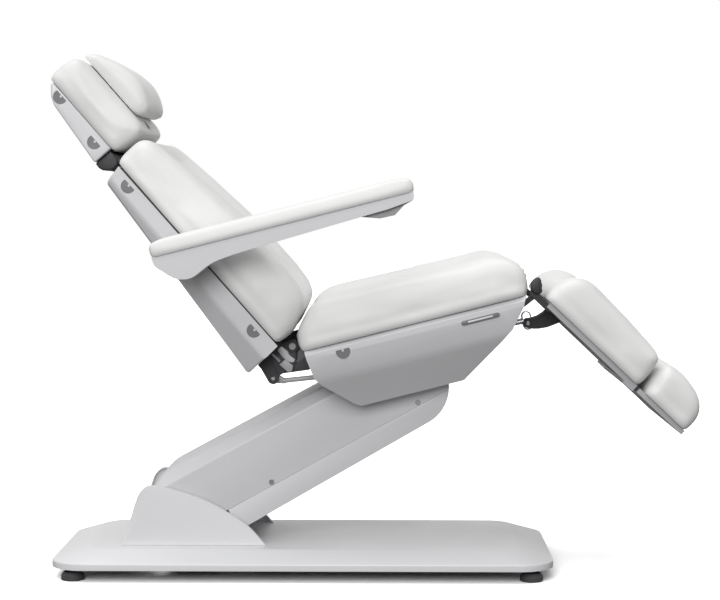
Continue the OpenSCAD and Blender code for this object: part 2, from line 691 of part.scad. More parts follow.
module seat_frame() color(steel) at_seat() difference() {
  union() {
    both() block([rail_back, rail_seat_in, -rail_deep], [rail_front, rail_seat_in + rail_seat_w, -board_t]);
    for (u = cross_u) block([u, -rail_seat_in - over, -cross_deep],
      [u + cross_w, rail_seat_in + over, -board_t]);
    block([rail_front - cross_w, -front_ear_in - front_ear_w, -cross_deep],
      [rail_front, front_ear_in + front_ear_w, -board_t]);
    both() bar(tilt_v - board_t, rail_seat_w, tilt_seat, rail_seat_in + rail_seat_w / 2);
    both() slab(fork_thin - 2 * over, back_lane) {
      strut([-back_hinge_u, back_hinge_v], ear_r, rear_elbow, front_ear_r);
      strut(rear_elbow, front_ear_r, [rail_back + ear_r, -board_t - ear_r], front_ear_r - over);
    }
    both() slab(front_ear_w, front_ear_in + front_ear_w / 2) {
      strut([leg_hinge_u, leg_hinge_v], front_ear_r, front_elbow, front_bar_r);
      strut(front_elbow, front_bar_r, low_elbow, front_bar_r);
      strut(low_elbow, front_bar_r, [rail_front - cross_w / 2, -board_t - front_ear_r - over], front_ear_r);
    }
    both() block([cross_u[1], lug_in, -tilt_v - pin_r - 2 * over],
      [cross_u[2] + cross_w, lug_in + lug_t, -board_t]);
    lane(back_lane) strut(back_tail, 2 * pin_r, [back_tail[0], -rail_deep], 2 * pin_r);
    block([back_tail[0] - 2 * pin_r, -back_lane - lever_in - lever_t, -rail_deep],
      [back_tail[0] + 2 * pin_r, -back_lane + lever_in + lever_t, -cross_deep]);
    lane(leg_lane) strut(leg_tail, front_ear_r, [cross_u[1] + cross_w / 2, -cross_deep + over],
      front_ear_r - 2 * over);
  }
  bar(tilt_axle_r + fit, 2 * bed_w, tilt_seat);
  bar(pin_r + fit, 2 * bed_w, [-back_hinge_u, back_hinge_v]);
  bar(pin_r + fit, 2 * bed_w, [leg_hinge_u, leg_hinge_v]);
  bar(pin_r + fit, 2 * (lug_in + lug_t) + 2 * over, tilt_crank_pin);
  bar(pin_r + fit, 2 * (lever_in + lever_t) + 2 * over, back_tail, -back_lane);
  bar(pin_r + fit, 2 * (lever_in + lever_t) + 2 * over, leg_tail, -leg_lane);
}

module seat_board() color("burlywood") at_seat()
  block([board_back, -board_half, -board_t], [board_front, board_half, -seat_gap]);

// Levels of the seat cover: rear, front, half width, height, as shares
tub_shares = [[-0.002, 0.991, 0.975, 0], [-0.002, 0.978, 1, -0.07], [0, 0.968, 1, -0.145],
  [0.011, 0.898, 1, -0.422],
  [0.035, 0.847, 0.941, -0.548], [0.151, 0.663, 0.731, -0.952], [0.175, 0.642, 0.707, -1]];
tub = [for (s = tub_shares) [s[0] * seat_len, s[1] * seat_len, s[2] * tub_half,
  min(s[3] * seat_deep, -seat_gap - over)]];
clip_w = 34;
clip_h = 22;
clip_shares = [0.7, 0.6];        // depth and thickness of a clip, of the cover's wall
seat_clip = [87, -28];
slot_place = [415, -27];
slot_w = 86;
slot_h = 9;
belly_top = 38;
back_slot_share = 0.72;          // depth of the back motor's slot, of the seat cover's

// The half-round clip's outline, flat towards the cushion
module clip_face(grow) {
  w = clip_w / 2 + grow;
  h = clip_h / 2 + grow;
  intersection() {
    translate([0, w - h]) circle(w);
    translate([-w, -h - over]) square([2 * w, 2 * h + over]);
  }
}
module clip_holes(places, half) both() for (p = places)
  translate([p[0], half, p[1]]) slab(4 * cover_wall) clip_face(0);
module clips(places, half) color(shade) both() for (p = places)
  translate([p[0], half - cover_wall * clip_shares[0], p[1]]) slab(cover_wall * clip_shares[1])
    clip_face(-seat_gap);

module seat_cover() color(white) at_seat() difference() {
  levels(tub);
  levels(inside(tub, cover_wall));
  block([-seat_len, -belly_half, -2 * seat_deep], [2 * seat_len, belly_half, -belly_top]);
  both() block([-ear_r, back_lane - fork_thin / 2, -rail_deep], [rail_back, back_lane + fork_thin / 2, over]);
  block([-ear_r, -back_lane - lever_in - lever_t - 2 * over, -seat_deep * back_slot_share],
    [rail_back + ear_r, -back_lane + lever_in + lever_t + 2 * over, -ear_r]);
  both() block([rail_front, front_ear_in - 3 * over, -belly_top],
    [seat_len + cross_w, front_ear_in + front_ear_w + 3 * over, over]);
  clip_holes([seat_clip], tub_half);
  both() translate([slot_place[0] - slot_w / 2, tub_half - 2 * cover_wall, slot_place[1] - slot_h / 2])
    cube([slot_w, 4 * cover_wall, slot_h]);
}

seat_shares = [[0, 0], [0.022, 0], [0.978, 0], [1, 0], [0.996, 0.037], [1.017, 0.324], [1, 0.676],
  [0.935, 0.926], [0.873, 0.99], [0.797, 0.963], [0.13, 1.028], [0.084, 0.99], [0.037, 0.741],
  [-0.002, 0.463], [-0.017, 0.157], [-0.007, 0.01]];
round_r = 30;      // rounding of the cushions' side edges
drawn = 4;         // how far their sides are drawn in
swell = 3;         // bulge of their side faces
module seat_cushion() color(white) at_seat()
  cushion(smooth(place(seat_shares, [seat_len, seat_t])), bed_w, round_r, crown, drawn, swell);

module seat_clips() at_seat() clips([seat_clip], tub_half);

module side_slot_trims() color("white") at_seat() both() {
  translate([slot_place[0] - slot_w / 2, tub_half - cover_wall, slot_place[1] - slot_h / 2])
    cube([slot_w, cover_wall / 2, slot_h]);
  translate([slot_place[0] - slot_w / 2 - 2 * over, tub_half - 2 * cover_wall,
    slot_place[1] - slot_h / 2 - 2 * over])
    cube([slot_w + 4 * over, cover_wall, slot_h + 4 * over]);
}

tube_start = 64;        // back motor's tube, from the back hinge
back_rod_end = 150;
motor_share = 0.66;     // start of the back motor's body, of the way to its tail pin
module back_motor() color(dark) at_back_motor() difference() {
  union() {
    translate([tube_start, 0, back_axis]) rotate([0, 90, 0])
      cylinder(r = tube_r, h = motor_pin_u - tube_start - 2 * lug_r);
    translate([motor_pin_u * motor_share, 0, back_axis]) rotate([0, 90, 0])
      cylinder(r = back_motor_r, h = motor_pin_u * (1 - motor_share) - lug_r - 8 * over);
    translate([0, 0, back_axis]) slab(fork_thin) translate([motor_pin_u - 2 * pin_r - 4 * over,
      -pin_r * tang_share])
      square([(2 + tang_share) * pin_r + 4 * over, 2 * tang_share * pin_r]);
  }
  translate([tube_start - over, 0, back_axis]) rotate([0, 90, 0])
    cylinder(r = slim_r + fit, h = motor_pin_u * motor_share - tube_start);
  bar(pin_r + fit, 2 * bed_w, [motor_pin_u, back_axis]);
}

module back_rod() color(bright) at_back_motor() translate([back_crank * cos(back_turned), 0, 0])
  fork_rod(back_slot[0], back_slot[1], fork_thin, wide_gap, slim_r, back_rod_end);

leg_tube = 96;          // leg motor's tube, behind the leg hinge
leg_rod_end = 170;
leg_tang_share = 1.4;   // half height of the leg motor's tang, of a pin's radius
module leg_motor() color(dark) at_leg_motor() difference() {
  union() {
    translate([front_ear_r + 2 * over - leg_pin_u, 0, leg_axis]) rotate([0, 90, 0])
      cylinder(r = tube_r, h = leg_pin_u - leg_tube - front_ear_r - 2 * over);
    translate([0, 0, leg_axis]) slab(fork_thin) translate([-leg_pin_u - pin_r * leg_tang_share,
      -pin_r * leg_tang_share])
      square([4 * pin_r, 2 * leg_tang_share * pin_r]);
  }
  translate([pin_r + over - leg_pin_u + lug_r, 0, leg_axis]) rotate([0, 90, 0])
    cylinder(r = slim_r + fit, h = leg_pin_u);
  bar(pin_r + fit, 2 * bed_w, [-leg_pin_u, leg_axis]);
}

module leg_rod() color(bright) at_leg_motor() translate([leg_crank * cos(leg_turned), 0, 0])
  fork_rod(leg_slot[0], leg_slot[1], fork_thin, wide_gap, slim_r, -leg_rod_end);

hinge_out = back_lane + lever_in + lever_t;
module back_hinge_pins() color(bright) at_seat() both()
  bar(pin_r, 2 * (lever_in + lever_t) + 4 * over, [-back_hinge_u, back_hinge_v], back_lane);

leg_ear_in = front_ear_in + front_ear_w + 4 * over;
leg_ear_w = 10;
module leg_hinge_pins() color(bright) at_seat() {
  both() bar(pin_r, front_ear_w + leg_ear_w + 6 * over, [leg_hinge_u, leg_hinge_v],
    (front_ear_in + leg_ear_in + leg_ear_w) / 2);
  bar(pin_r, 2 * (lug_in + lug_t), tilt_crank_pin);
  bar(pin_r, 2 * (lever_in + lever_t), back_tail, -back_lane);
  bar(pin_r, 2 * (lever_in + lever_t), leg_tail, -leg_lane);
}

// BACK
back_board_z = -14;     // underside of the back cushion
back_rail_deep = 54;
shaft_r = 9.5;
back_board_low = 76;
back_rail_low = 60;
back_rail_top = 572;
hub_stand = 25;                          // how far a hub stands out beyond the cushions
hub_out = bed_w / 2 + hub_stand;
back_elbow = [-ear_r, -2 * ear_r];
back_half = tub_half - 5 * over;
hub_in = back_half + 2 * over;
lever_end_share = 1.7;      // end of the back's lever, of its pin's radius
lever_root_r = 20;
root_share = 0.75;          // how far the lever's root sits behind the rails' ends, of its radius
lever_root = [-back_rail_low - root_share * lever_root_r, 3 * over - back_rail_deep - lever_root_r / 3];

module back_frame() color(steel) at_back() difference() {
  z = back_board_z - seat_gap - board_t;
  union() {
    both() block([-back_rail_top, back_lane - lever_in - lever_t, -back_rail_deep],
      [-back_rail_low, hinge_out, z]);
    for (x = [back_rail_low, rest_u - cross_w, back_rail_top - cross_w])
      block([-x - cross_w, over - back_lane + lever_in, -back_rail_deep + over],
        [-x, back_lane - lever_in - over, z]);
    both() lane(back_lane) {
      strut([0, 0], ear_r, back_elbow, front_ear_r);
      strut(back_elbow, front_ear_r, [-back_rail_low - ear_r, z - front_ear_r], front_ear_r - over);
    }
    lane(back_lane) strut(lever_root, lever_root_r, back_pin, lever_end_share * pin_r);
    both() bar(shaft_r, hub_out - 2 * over - hinge_out + over, [-rest_u, -rest_v],
      (hub_out - 3 * over + hinge_out) / 2);
    bar(pin_r, 2 * (lever_in + lever_t), back_pin, -back_lane);
  }
  bar(pin_r + fit, 2 * bed_w, [0, 0]);
}

module back_board() color("burlywood") at_back()
  block([-back_rail_top, -board_half, back_board_z - seat_gap - board_t],
    [-back_board_low, board_half, back_board_z - seat_gap]);

back_clip = [[-533, -39], [-89, -41]];
back_taper = [12, 40];      // how much narrower the cover is along its top end and its underside
back_top_half = back_half - back_taper[0];
back_bottom_half = back_half - back_taper[1];
// Back cover: shares of its length, and heights as shares of its depth under the cushion
back_cover_shares = [[-1, -0.04], [-0.043, -0.02], [-0.038, -0.46], [-0.986, -0.4]];
back_low_shares = [[-0.034, -1], [-0.038, -0.46], [-0.1, -0.94]];
back_top_shares = [[-0.986, -1], [-0.986, -0.4], [-0.95, -0.9]];
module back_shell(t) {
  low = [0, back_board_z - seat_gap - over + (t > 0 ? over : 0)];
  w = [back_len - t, back_deep - t];
  hull() {
    slab(2 * (back_half - t)) polygon(place(back_cover_shares, w, low));
    slab(2 * (back_bottom_half - t)) polygon(place(back_low_shares, w, low));
    slab(2 * (back_top_half - t)) polygon(place(back_top_shares, [back_len - t, back_shallow - t], low));
  }
}
module back_cover() color(white) at_back() difference() {
  back_shell(0);
  hull() {
    back_shell(cover_wall);
    translate([back_rail_low, 0, 0]) back_shell(cover_wall);
    block([-back_len + 2 * cover_wall + cross_w, -back_top_half, back_board_z], [0, back_top_half, over]);
  }
  clip_holes(back_clip, back_half);
  both() bar(shaft_r + 2 * over, 4 * cover_wall, [-rest_u, -rest_v], back_half);
  block([-2 * back_len, -barrel_half - over, -head_hinge_v - barrel_r / 2],
    [-back_rail_top, barrel_half + over, back_board_z + over]);
}

back_shares = [[-1.002, -0.116], [-0.988, -0.116], [-0.057, -0.116], [-0.043, -0.116], [-0.0395, -0.058],
  [-0.0435, 0.289], [-0.0855, 0.777], [-0.116, 0.86], [-0.18, 0.901], [-0.2835, 0.901], [-0.558, 0.876],
  [-1, 0.628], [-1.026, 0.57], [-1.038, 0.4545], [-1.0275, -0.074]];
module back_cushion() color(white) at_back()
  cushion(smooth(place(back_shares, [back_len, back_t])), bed_w, round_r, crown, drawn, swell);

module back_clips() at_back() clips(back_clip, back_half);

barrel_half = 120;
knuckle_out = 190;
tongue_share = 0.9;         // width of the barrel's tongue, of the barrel's
module head_hinge_barrel() color(dark) at_head() {
  bar(barrel_r, 2 * barrel_half);
  bar(pin_r, 2 * knuckle_out);
  block([0, -barrel_half * tongue_share, -barrel_r / 2],
    [head_hinge_u - back_rail_top, barrel_half * tongue_share, barrel_r / 2]);
}

// HEADREST
head_seam = 26;
head_in = 80;               // from the cushions' sides in to the head cover's
head_half = bed_w / 2 - head_in;
head_clip = [[-60, -1], [-192, 9]];
bracket_shares = [0.4, 0.2];    // ends of the head bracket's riser, of the headrest's length
module head_frame() color(steel) at_head() difference() {
  union() {
    both() bar(barrel_r - 2 * over, knuckle_out - barrel_half - 2 * over, [0, 0],
      (barrel_half + knuckle_out) / 2);
    both() block([-head_len * bracket_shares[0], barrel_half + over, -barrel_r / 2],
      [0, knuckle_out - over, barrel_r / 2]);
    both() block([-head_len * bracket_shares[0], barrel_half + over, 0],
      [-head_len * bracket_shares[1], knuckle_out - over, head_seam - 4 * over]);
    block([over * 4 - head_len, -head_half + 4 * over, head_seam - pin_r],
      [-barrel_r - 8 * over, head_half - 4 * over, head_seam - seat_gap]);
  }
  bar(pin_r + fit, 3 * knuckle_out);
}

head_cover_shares = [[-0.106, 1], [-0.106, -1], [-0.124, -1], [-0.832, -0.346], [-0.925, 0], [-1.013, 0.69],
  [-1.013, 1]];
module head_shell(t) {
  p = place(head_cover_shares, [head_len, head_seam]);
  hull() slab(2 * (head_half - t)) offset(delta = -t) polygon(p);
}
module head_cover() color(white) at_head() difference() {
  head_shell(0);
  hull() {
    head_shell(cover_wall);
    translate([0, 0, head_seam]) head_shell(cover_wall);
  }
  block([-2 * head_len, -head_w, head_seam - seat_gap - over], [head_len, head_w, 2 * head_seam]);
  both() block([-barrel_r * 2, barrel_half - over, -barrel_r], [0, knuckle_out + over, head_seam]);
  clip_holes(head_clip, head_half);
}

head_shares = [[-1.013, 0], [-0.98, 0], [-0.055, 0], [-0.0265, 0.01], [-0.02, 0.3], [-0.004, 0.85],
  [-0.006, 0.95],
  [-0.03, 0.99], [-0.08, 1], [-0.93, 1], [-0.98, 0.985], [-1.022, 0.92], [-1.04, 0.69], [-1.062, 0.39],
    [-1.035, 0.06]];
module head_cushion() color(white) at_head()
  cushion(smooth(place(head_shares, [head_len, head_t], [0, head_seam])), head_w, round_r, 0, drawn, swell);

module head_clips() at_head() clips(head_clip, head_half);

strap_z = head_seam + head_t + seat_gap;
module pillow_strap() color(white) at_head()
  block([over * 15 - head_len, -strap_w / 2, strap_z], [-barrel_r, strap_w / 2, strap_z + strap_t]);

pillow_shares = [[-0.97, 0], [-0.9, 0], [-0.27, 0], [-0.18, 0.02], [-0.068, 0.19], [-0.045, 0.51],
  [-0.176, 0.82],
  [-0.333, 1], [-0.495, 1], [-0.703, 0.83], [-0.896, 0.53], [-1.0, 0.3], [-1.03, 0.1]];
pillow_round_share = 0.8;
module face_pillow() color(white) at_head()
  cushion(smooth(place(pillow_shares, [pillow_len, pillow_t], [0, strap_z + strap_t + seat_gap])),
    pillow_w, pillow_round_share * round_r, 0, 0, swell);

// ARMRESTS, each drawn for the left side
module on_side(side) at_rest(side) if (side > 0) children(); else mirror([0, 1, 0]) children();
hub_r = 28;
stub_r = 10;
stub_end = rest_mid - 4 * over;
module arm_hub() color(dark) difference() {
  union() {
    bar(hub_r, hub_out - hub_in, [0, 0], (hub_out + hub_in) / 2 - rest_mid);
    bar(stub_r, stub_end - hub_out + over, [0, 0], (stub_end + hub_out - over) / 2 - rest_mid);
  }
  bar(shaft_r + fit, hub_out - hub_in, [0, 0], (hub_out + hub_in) / 2 - rest_mid - 2 * over);
}
module left_arm_hub() on_side(1) arm_hub();
module right_arm_hub() on_side(-1) arm_hub();

shell_shares = [[-0.143, 1], [-0.1425, 0.95], [-0.137, 0.405], [-0.109, -0.027], [-0.072, -0.568],
  [-0.022, -0.811],
  [0.017, -0.73], [0.072, -0.351], [0.13, -0.135], [0.249, 0], [0.75, 0.27], [0.978, 0.486], [0.988, 0.95],
  [0.989, 1], [0.975, 1], [-0.125, 1]];
boss_end = stub_end - rest_mid + 2 * over;
boss_share = 0.7;                   // pivot boss, of the hub's radius
shell_open_shares = [0.1, 0.94];    // ends of the shell's open top
shell_outline = smooth(place(shell_shares, [pad_front, pad_seam - seat_gap]));
module arm_shell() color(white) difference() {
  union() {
    difference() {
      slab(shell_w) polygon(shell_outline);
      slab(shell_w - 2 * cover_wall) offset(delta = -cover_wall) polygon(shell_outline);
      block([-pad_front * shell_open_shares[0], cover_wall - shell_w / 2, pad_seam / 2],
        [pad_front * shell_open_shares[1], shell_w / 2 - cover_wall, 2 * pad_seam]);
    }
    bar(hub_r * boss_share, boss_end + shell_w / 2 - over, [0, 0], (boss_end - shell_w / 2 + over) / 2);
  }
  bar(stub_r + fit, 2 * boss_end + shell_w + over, [0, 0], -shell_w / 2);
}
module left_arm_shell() on_side(1) arm_shell();
module right_arm_shell() on_side(-1) arm_shell();

pad_shares = [[0.011, 0], [0.034, 0], [0.969, 0], [0.992, 0.03], [1, 0.46], [0.984, 0.92], [0.937, 1],
  [0.05, 1], [0.0145, 0.92], [0, 0.62], [0.0016, 0.135]];
pad_round_share = 0.4;
module arm_pad(side) color(white) at_rest(side)
  cushion(smooth(place(pad_shares, [pad_len, pad_t], [pad_front - pad_len, pad_seam])), pad_w,
    pad_round_share * round_r, 0, 0, over);
module left_arm_pad() arm_pad(1);
module right_arm_pad() arm_pad(-1);

grip_shares = [[0.75, 0.27], [0.826, -0.108], [0.89, -0.135], [0.937, 0.324], [0.978, 0.486]];
grip_w_share = 0.7;
module arm_grip() color(dark) slab(grip_w_share * shell_w) difference() {
  polygon(place(grip_shares, [pad_front, pad_seam - seat_gap]));
  offset(delta = fit) polygon(shell_outline);
}
module left_arm_grip() on_side(1) arm_grip();
module right_arm_grip() on_side(-1) arm_grip();

// LEG REST
steel_top = -leg_under - seat_gap;
leg_rail_in = 155;
leg_rail_w = 124;
guide_t = 5;
leg_plate = [50, 140];
guide_len = 30;
tongue_in = 120;
ear_share = 0.75;               // lean of the leg rest's ears, of a pin's radius
tongue_start = 150;
slide_half = 279;
foot_start = leg_len + 4 * over;
leg_frame_low = steel_top - leg_steel;
lever_shares = [[1.17, -0.22], [1.97, -0.22], [1.86, -0.42], [1.69, -0.68], [1.48, -0.89], [1.3, -1.02],
  [1.05, -1.14], [0.84, -0.92], [0.97, -0.8], [1.08, -0.64], [1.15, -0.44]];
module leg_frame() color(steel) at_leg() difference() {
  union() {
    both() block([leg_plate[0], leg_rail_in, leg_frame_low],
      [leg_len - 5 * over, leg_rail_in + leg_rail_w, steel_top]);
    block([leg_plate[0], -leg_ear_in - leg_ear_w, leg_frame_low],
      [leg_plate[1], leg_ear_in + leg_ear_w, steel_top]);
    block([leg_len - 5 * over - guide_len, -leg_rail_in - leg_rail_w, leg_frame_low - guide_t],
      [leg_len - 5 * over, leg_rail_in + leg_rail_w, leg_frame_low]);
    both() translate([0, leg_ear_in + leg_ear_w / 2, 0]) slab(leg_ear_w) {
      strut([0, 0], front_ear_r, [pin_r * ear_share, leg_frame_low + over], pin_r);
      strut([pin_r * ear_share, leg_frame_low + over], pin_r, [leg_plate[0] + pin_r, leg_frame_low + over],
        pin_r - over);
    }
    lane(leg_lane) {
      polygon(place(lever_shares, [lever_u, lever_v]));
      translate([lever_u, -lever_v]) circle(leg_tang_share * pin_r);
    }
    bar(pin_r, 2 * (lever_in + lever_t), [lever_u, -lever_v], -leg_lane);
  }
  bar(pin_r + fit, 2 * bed_w);
}

leg_shares = [[0.066, 0], [0.101, 0], [0.973, 0], [1.006, 0.02], [1.006, 0.475], [0.997, 0.798],
  [0.973, 0.879],
  [0.896, 0.899], [0.272, 1.01], [0.134, 0.869], [0.063, 0.505], [0.045, 0.273], [0.048, 0.152]];
module leg_cushion() color(white) at_leg()
  cushion(smooth(place(leg_shares, [leg_len, leg_t], [0, -leg_under])), bed_w, round_r, crown, drawn, swell);

slide_top = steel_top - over;
slide_share = 0.95;             // end of the foot slide, of the foot cushion's length
module foot_slide() color(steel) at_leg() {
  both() block([tongue_start, tongue_in, leg_frame_low + seat_gap],
    [foot_start + 2 * over, leg_rail_in - 5 * over, slide_top]);
  block([foot_start, -slide_half, leg_frame_low + seat_gap],
    [foot_start + foot_len * slide_share, slide_half, slide_top]);
}

foot_shares = [[0.072, 0], [0.138, 0], [0.914, 0], [0.974, 0.033], [1, 0.196], [0.993, 0.435], [0.895, 0.739],
  [0.711, 0.924], [0.401, 1], [0.0855, 0.967], [0.033, 0.913], [0.013, 0.739], [0.039, 0.304],
    [0.0526, 0.043]];
module foot_cushion() color(white) at_leg()
  cushion(smooth(place(foot_shares, [foot_len, leg_t - leg_under], [foot_start, slide_top + seat_gap])),
    bed_w, round_r, crown, drawn, swell);

base_frame();
base_cover();
levelling_feet();
left_cheek_cover();
right_cheek_cover();
control_box();
mains_inlet();
control_sockets();
pedestal_pins();
arm_frame();
arm_upper_cover();
arm_lower_cover();
arm_bushes();
lift_motor();
arm_cover_screws();
lift_rod();
levelling_link();
seat_carrier();
carrier_pins();
tilt_motor();
tilt_rod();
seat_frame();
seat_board();
seat_cover();
seat_cushion();
seat_clips();
side_slot_trims();
back_motor();
leg_motor();
back_hinge_pins();
leg_hinge_pins();
back_rod();
leg_rod();
back_frame();
back_board();
back_cover();
back_cushion();
back_clips();
head_hinge_barrel();
head_frame();
head_cover();
head_cushion();
head_clips();
pillow_strap();
face_pillow();
left_arm_hub();
right_arm_hub();
left_arm_shell();
right_arm_shell();
left_arm_pad();
right_arm_pad();
left_arm_grip();
right_arm_grip();
leg_frame();
leg_cushion();
foot_slide();
foot_cushion();
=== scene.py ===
import math

import bpy
from mathutils import Matrix, Vector


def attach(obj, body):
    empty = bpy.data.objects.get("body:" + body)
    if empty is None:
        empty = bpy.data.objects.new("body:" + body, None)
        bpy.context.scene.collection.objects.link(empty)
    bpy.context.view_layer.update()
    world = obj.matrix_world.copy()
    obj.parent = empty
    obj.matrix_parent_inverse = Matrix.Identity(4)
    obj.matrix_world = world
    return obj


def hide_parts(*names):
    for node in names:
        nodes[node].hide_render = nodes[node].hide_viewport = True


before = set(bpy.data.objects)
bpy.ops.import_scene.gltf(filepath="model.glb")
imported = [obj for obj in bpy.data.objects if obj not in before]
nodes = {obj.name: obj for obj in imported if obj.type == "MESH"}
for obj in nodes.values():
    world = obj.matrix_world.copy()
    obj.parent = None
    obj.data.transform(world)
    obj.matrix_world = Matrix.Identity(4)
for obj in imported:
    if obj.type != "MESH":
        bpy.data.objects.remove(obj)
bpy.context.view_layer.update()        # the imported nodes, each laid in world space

mm = 0.001
hair = 0.1 * mm  # how near counts as touching when faces and edges are picked

# Where each section's own frame sits: its origin in metres and its tilt in degrees
sections = {
    "base": ((-0.443, 0.168), 0.0),
    "arm": ((-0.443, 0.168), 28.8),
    "seat": ((-0.159548, 0.552215), 14.2),
    "back": ((-0.192544, 0.556244), -48.8),
    "head": ((-0.620773, 0.990752), -48.8),
    "rest": ((-0.415921, 0.756751), 14.2),
    "leg": ((0.381601, 0.704619), -43.5),
    "backMotor": ((-0.192544, 0.556244), 6.2),
    "legMotor": ((0.381601, 0.704619), 11.2),
}


def placeOf(section):
    (x, z), tilt = sections[section]
    return Matrix.Translation((x, 0, z)) @ Matrix.Rotation(-math.radians(tilt), 4, "Y")


# Camera, floor and light
view = {"at": (0.036, -4.7, 0.913), "turn": 0.86, "down": 3.13, "lens": 95.15, "sensor": 36}
eye = bpy.data.cameras.new("eye")
eye.lens, eye.sensor_width = view["lens"], view["sensor"]
camera = bpy.data.objects.new("camera", eye)
camera.location = view["at"]
camera.rotation_euler = (math.radians(90 - view["down"]), 0, math.radians(view["turn"]))
bpy.context.scene.collection.objects.link(camera)
bpy.context.scene.camera = camera
bpy.context.scene.view_settings.view_transform = "Standard"


def toLinear(code):  # "#rrggbb" in sRGB to linear light
    parts = [int(code[i:i + 2], 16) / 255 for i in (1, 3, 5)]
    return [c / 12.92 if c <= 0.04045 else ((c + 0.055) / 1.055) ** 2.4 for c in parts] + [1.0]


def addNode(tree, kind, values=None, links=None, **settings):
    node = tree.nodes.new(kind)
    for name, value in settings.items():
        setattr(node, name, value)
    for socket, value in (values or {}).items():
        node.inputs[socket].default_value = value
    for socket, source in (links or {}).items():
        tree.links.new(source, node.inputs[socket])
    return node


def newMaterial(name):
    material = bpy.data.materials.new(name)
    material.use_nodes = True
    material.node_tree.nodes.clear()
    return material, material.node_tree


def perMetre(size):  # texture scale for a pattern of that size in mm
    return 1 / (size * mm)


def activate(piece):
    if bpy.context.object and bpy.context.object.mode != "OBJECT":
        bpy.ops.object.mode_set(mode="OBJECT")
    bpy.ops.object.select_all(action="DESELECT")
    piece.select_set(True)
    bpy.context.view_layer.objects.active = piece


light = {
    "sky": 0.42, "floor": 0.16, "floorLift": 1.9, "paper": 40,
    "sun": {"turn": (10, -6), "strength": 1.5, "spread": 60},
    "front": {"at": (-0.8, -5.2, 2.6), "aim": (0, 0, 0.5), "size": 2.6, "power": 150},
}
sunData = bpy.data.lights.new("ceilingLight", "SUN")
sunData.energy, sunData.angle = light["sun"]["strength"], math.radians(light["sun"]["spread"])
sunObject = bpy.data.objects.new("ceilingLight", sunData)
sunObject.rotation_euler = [math.radians(a) for a in light["sun"]["turn"]] + [0]
frontData = bpy.data.lights.new("frontSoftbox", "AREA")
frontData.size, frontData.energy = light["front"]["size"], light["front"]["power"]
frontObject = bpy.data.objects.new("frontSoftbox", frontData)
frontObject.location = light["front"]["at"]
towardsBed = Vector(light["front"]["at"]) - Vector(light["front"]["aim"])
frontObject.rotation_euler = towardsBed.to_track_quat("Z", "Y").to_euler()
for lamp in (sunObject, frontObject):
    bpy.context.scene.collection.objects.link(lamp)

sky = bpy.data.worlds.new("studio")
sky.use_nodes = True
bpy.context.scene.world = sky
tree = sky.node_tree
tree.nodes.clear()
rays = addNode(tree, "ShaderNodeLightPath")
seen = rays.outputs["Is Camera Ray"]
for kind in ("Is Transmission Ray", "Is Glossy Ray"):  # these rays see pure white, the others a dimmer sky
    seen = addNode(tree, "ShaderNodeMath", links={0: seen, 1: rays.outputs[kind]},
                   operation="MAXIMUM").outputs[0]
power = addNode(tree, "ShaderNodeMapRange", {"To Min": light["sky"], "To Max": 1.0}, {"Value": seen})
glow = addNode(tree, "ShaderNodeBackground", {"Color": (1, 1, 1, 1)}, {"Strength": power.outputs[0]})
addNode(tree, "ShaderNodeOutputWorld", links={"Surface": glow.outputs[0]})

bpy.ops.mesh.primitive_plane_add(size=light["paper"], location=(0, 0, 0))
floor = bpy.context.object
floor.name = "floor"
bpy.ops.object.transform_apply(location=True, rotation=True, scale=True)
paper, tree = newMaterial("paleStudioPaper")
rays = addNode(tree, "ShaderNodeLightPath")
lift = addNode(tree, "ShaderNodeMapRange", {"To Min": light["floor"], "To Max": light["floorLift"]},
               {"Value": rays.outputs["Is Camera Ray"]})  # the camera sees burnt-out paper, its shadow stays
matte = addNode(tree, "ShaderNodeBsdfDiffuse", links={"Color": lift.outputs[0]})
addNode(tree, "ShaderNodeOutputMaterial", links={"Surface": matte.outputs[0]})
floor.data.materials.append(paper)
print("stage: camera, floor and light")


# Materials
def noise(tree, size, detail, where):
    scale = {"Scale": perMetre(size), "Detail": detail}
    return addNode(tree, "ShaderNodeTexNoise", scale, {"Vector": where}).outputs["Fac"]


def tintFrom(tree, look, factor):  # drifts between the two colours of a finish
    colours = {6: toLinear(look["colour"]), 7: toLinear(look["second"])}
    return addNode(tree, "ShaderNodeMix", colours, {0: factor}, data_type="RGBA").outputs[2]


def roughFrom(tree, look, factor):  # drifts between the two roughnesses of a finish
    low, high = look["gloss"]
    spread = {"From Min": 0.3, "From Max": 0.7, "To Min": low, "To Max": high}
    return addNode(tree, "ShaderNodeMapRange", spread, {"Value": factor}).outputs[0]


def bumpFrom(tree, strength, height, source):
    depth = {"Strength": strength, "Distance": height * mm}
    return addNode(tree, "ShaderNodeBump", depth, {"Height": source}).outputs[0]


def softPlastic(name, look):
    # two close tints drift over the surface, and a fine grain breaks the highlight
    material, tree = newMaterial(name)
    where = addNode(tree, "ShaderNodeTexCoord").outputs["Object"]
    drift = noise(tree, look["driftSize"], 3.0, where)
    if look.get("cells"):
        grain = addNode(tree, "ShaderNodeTexVoronoi", {"Scale": perMetre(look["grainSize"])}, {"Vector": where},
                        feature="SMOOTH_F1").outputs["Distance"]
    else:
        grain = noise(tree, look["grainSize"], 2.0, where)
    shader = addNode(tree, "ShaderNodeBsdfPrincipled", {"IOR": look["ior"]}, {
        "Base Color": tintFrom(tree, look, drift), "Roughness": roughFrom(tree, look, drift),
        "Normal": bumpFrom(tree, look["grainStrength"], look["grainHeight"], grain)})
    addNode(tree, "ShaderNodeOutputMaterial", links={"Surface": shader.outputs[0]})
    return material


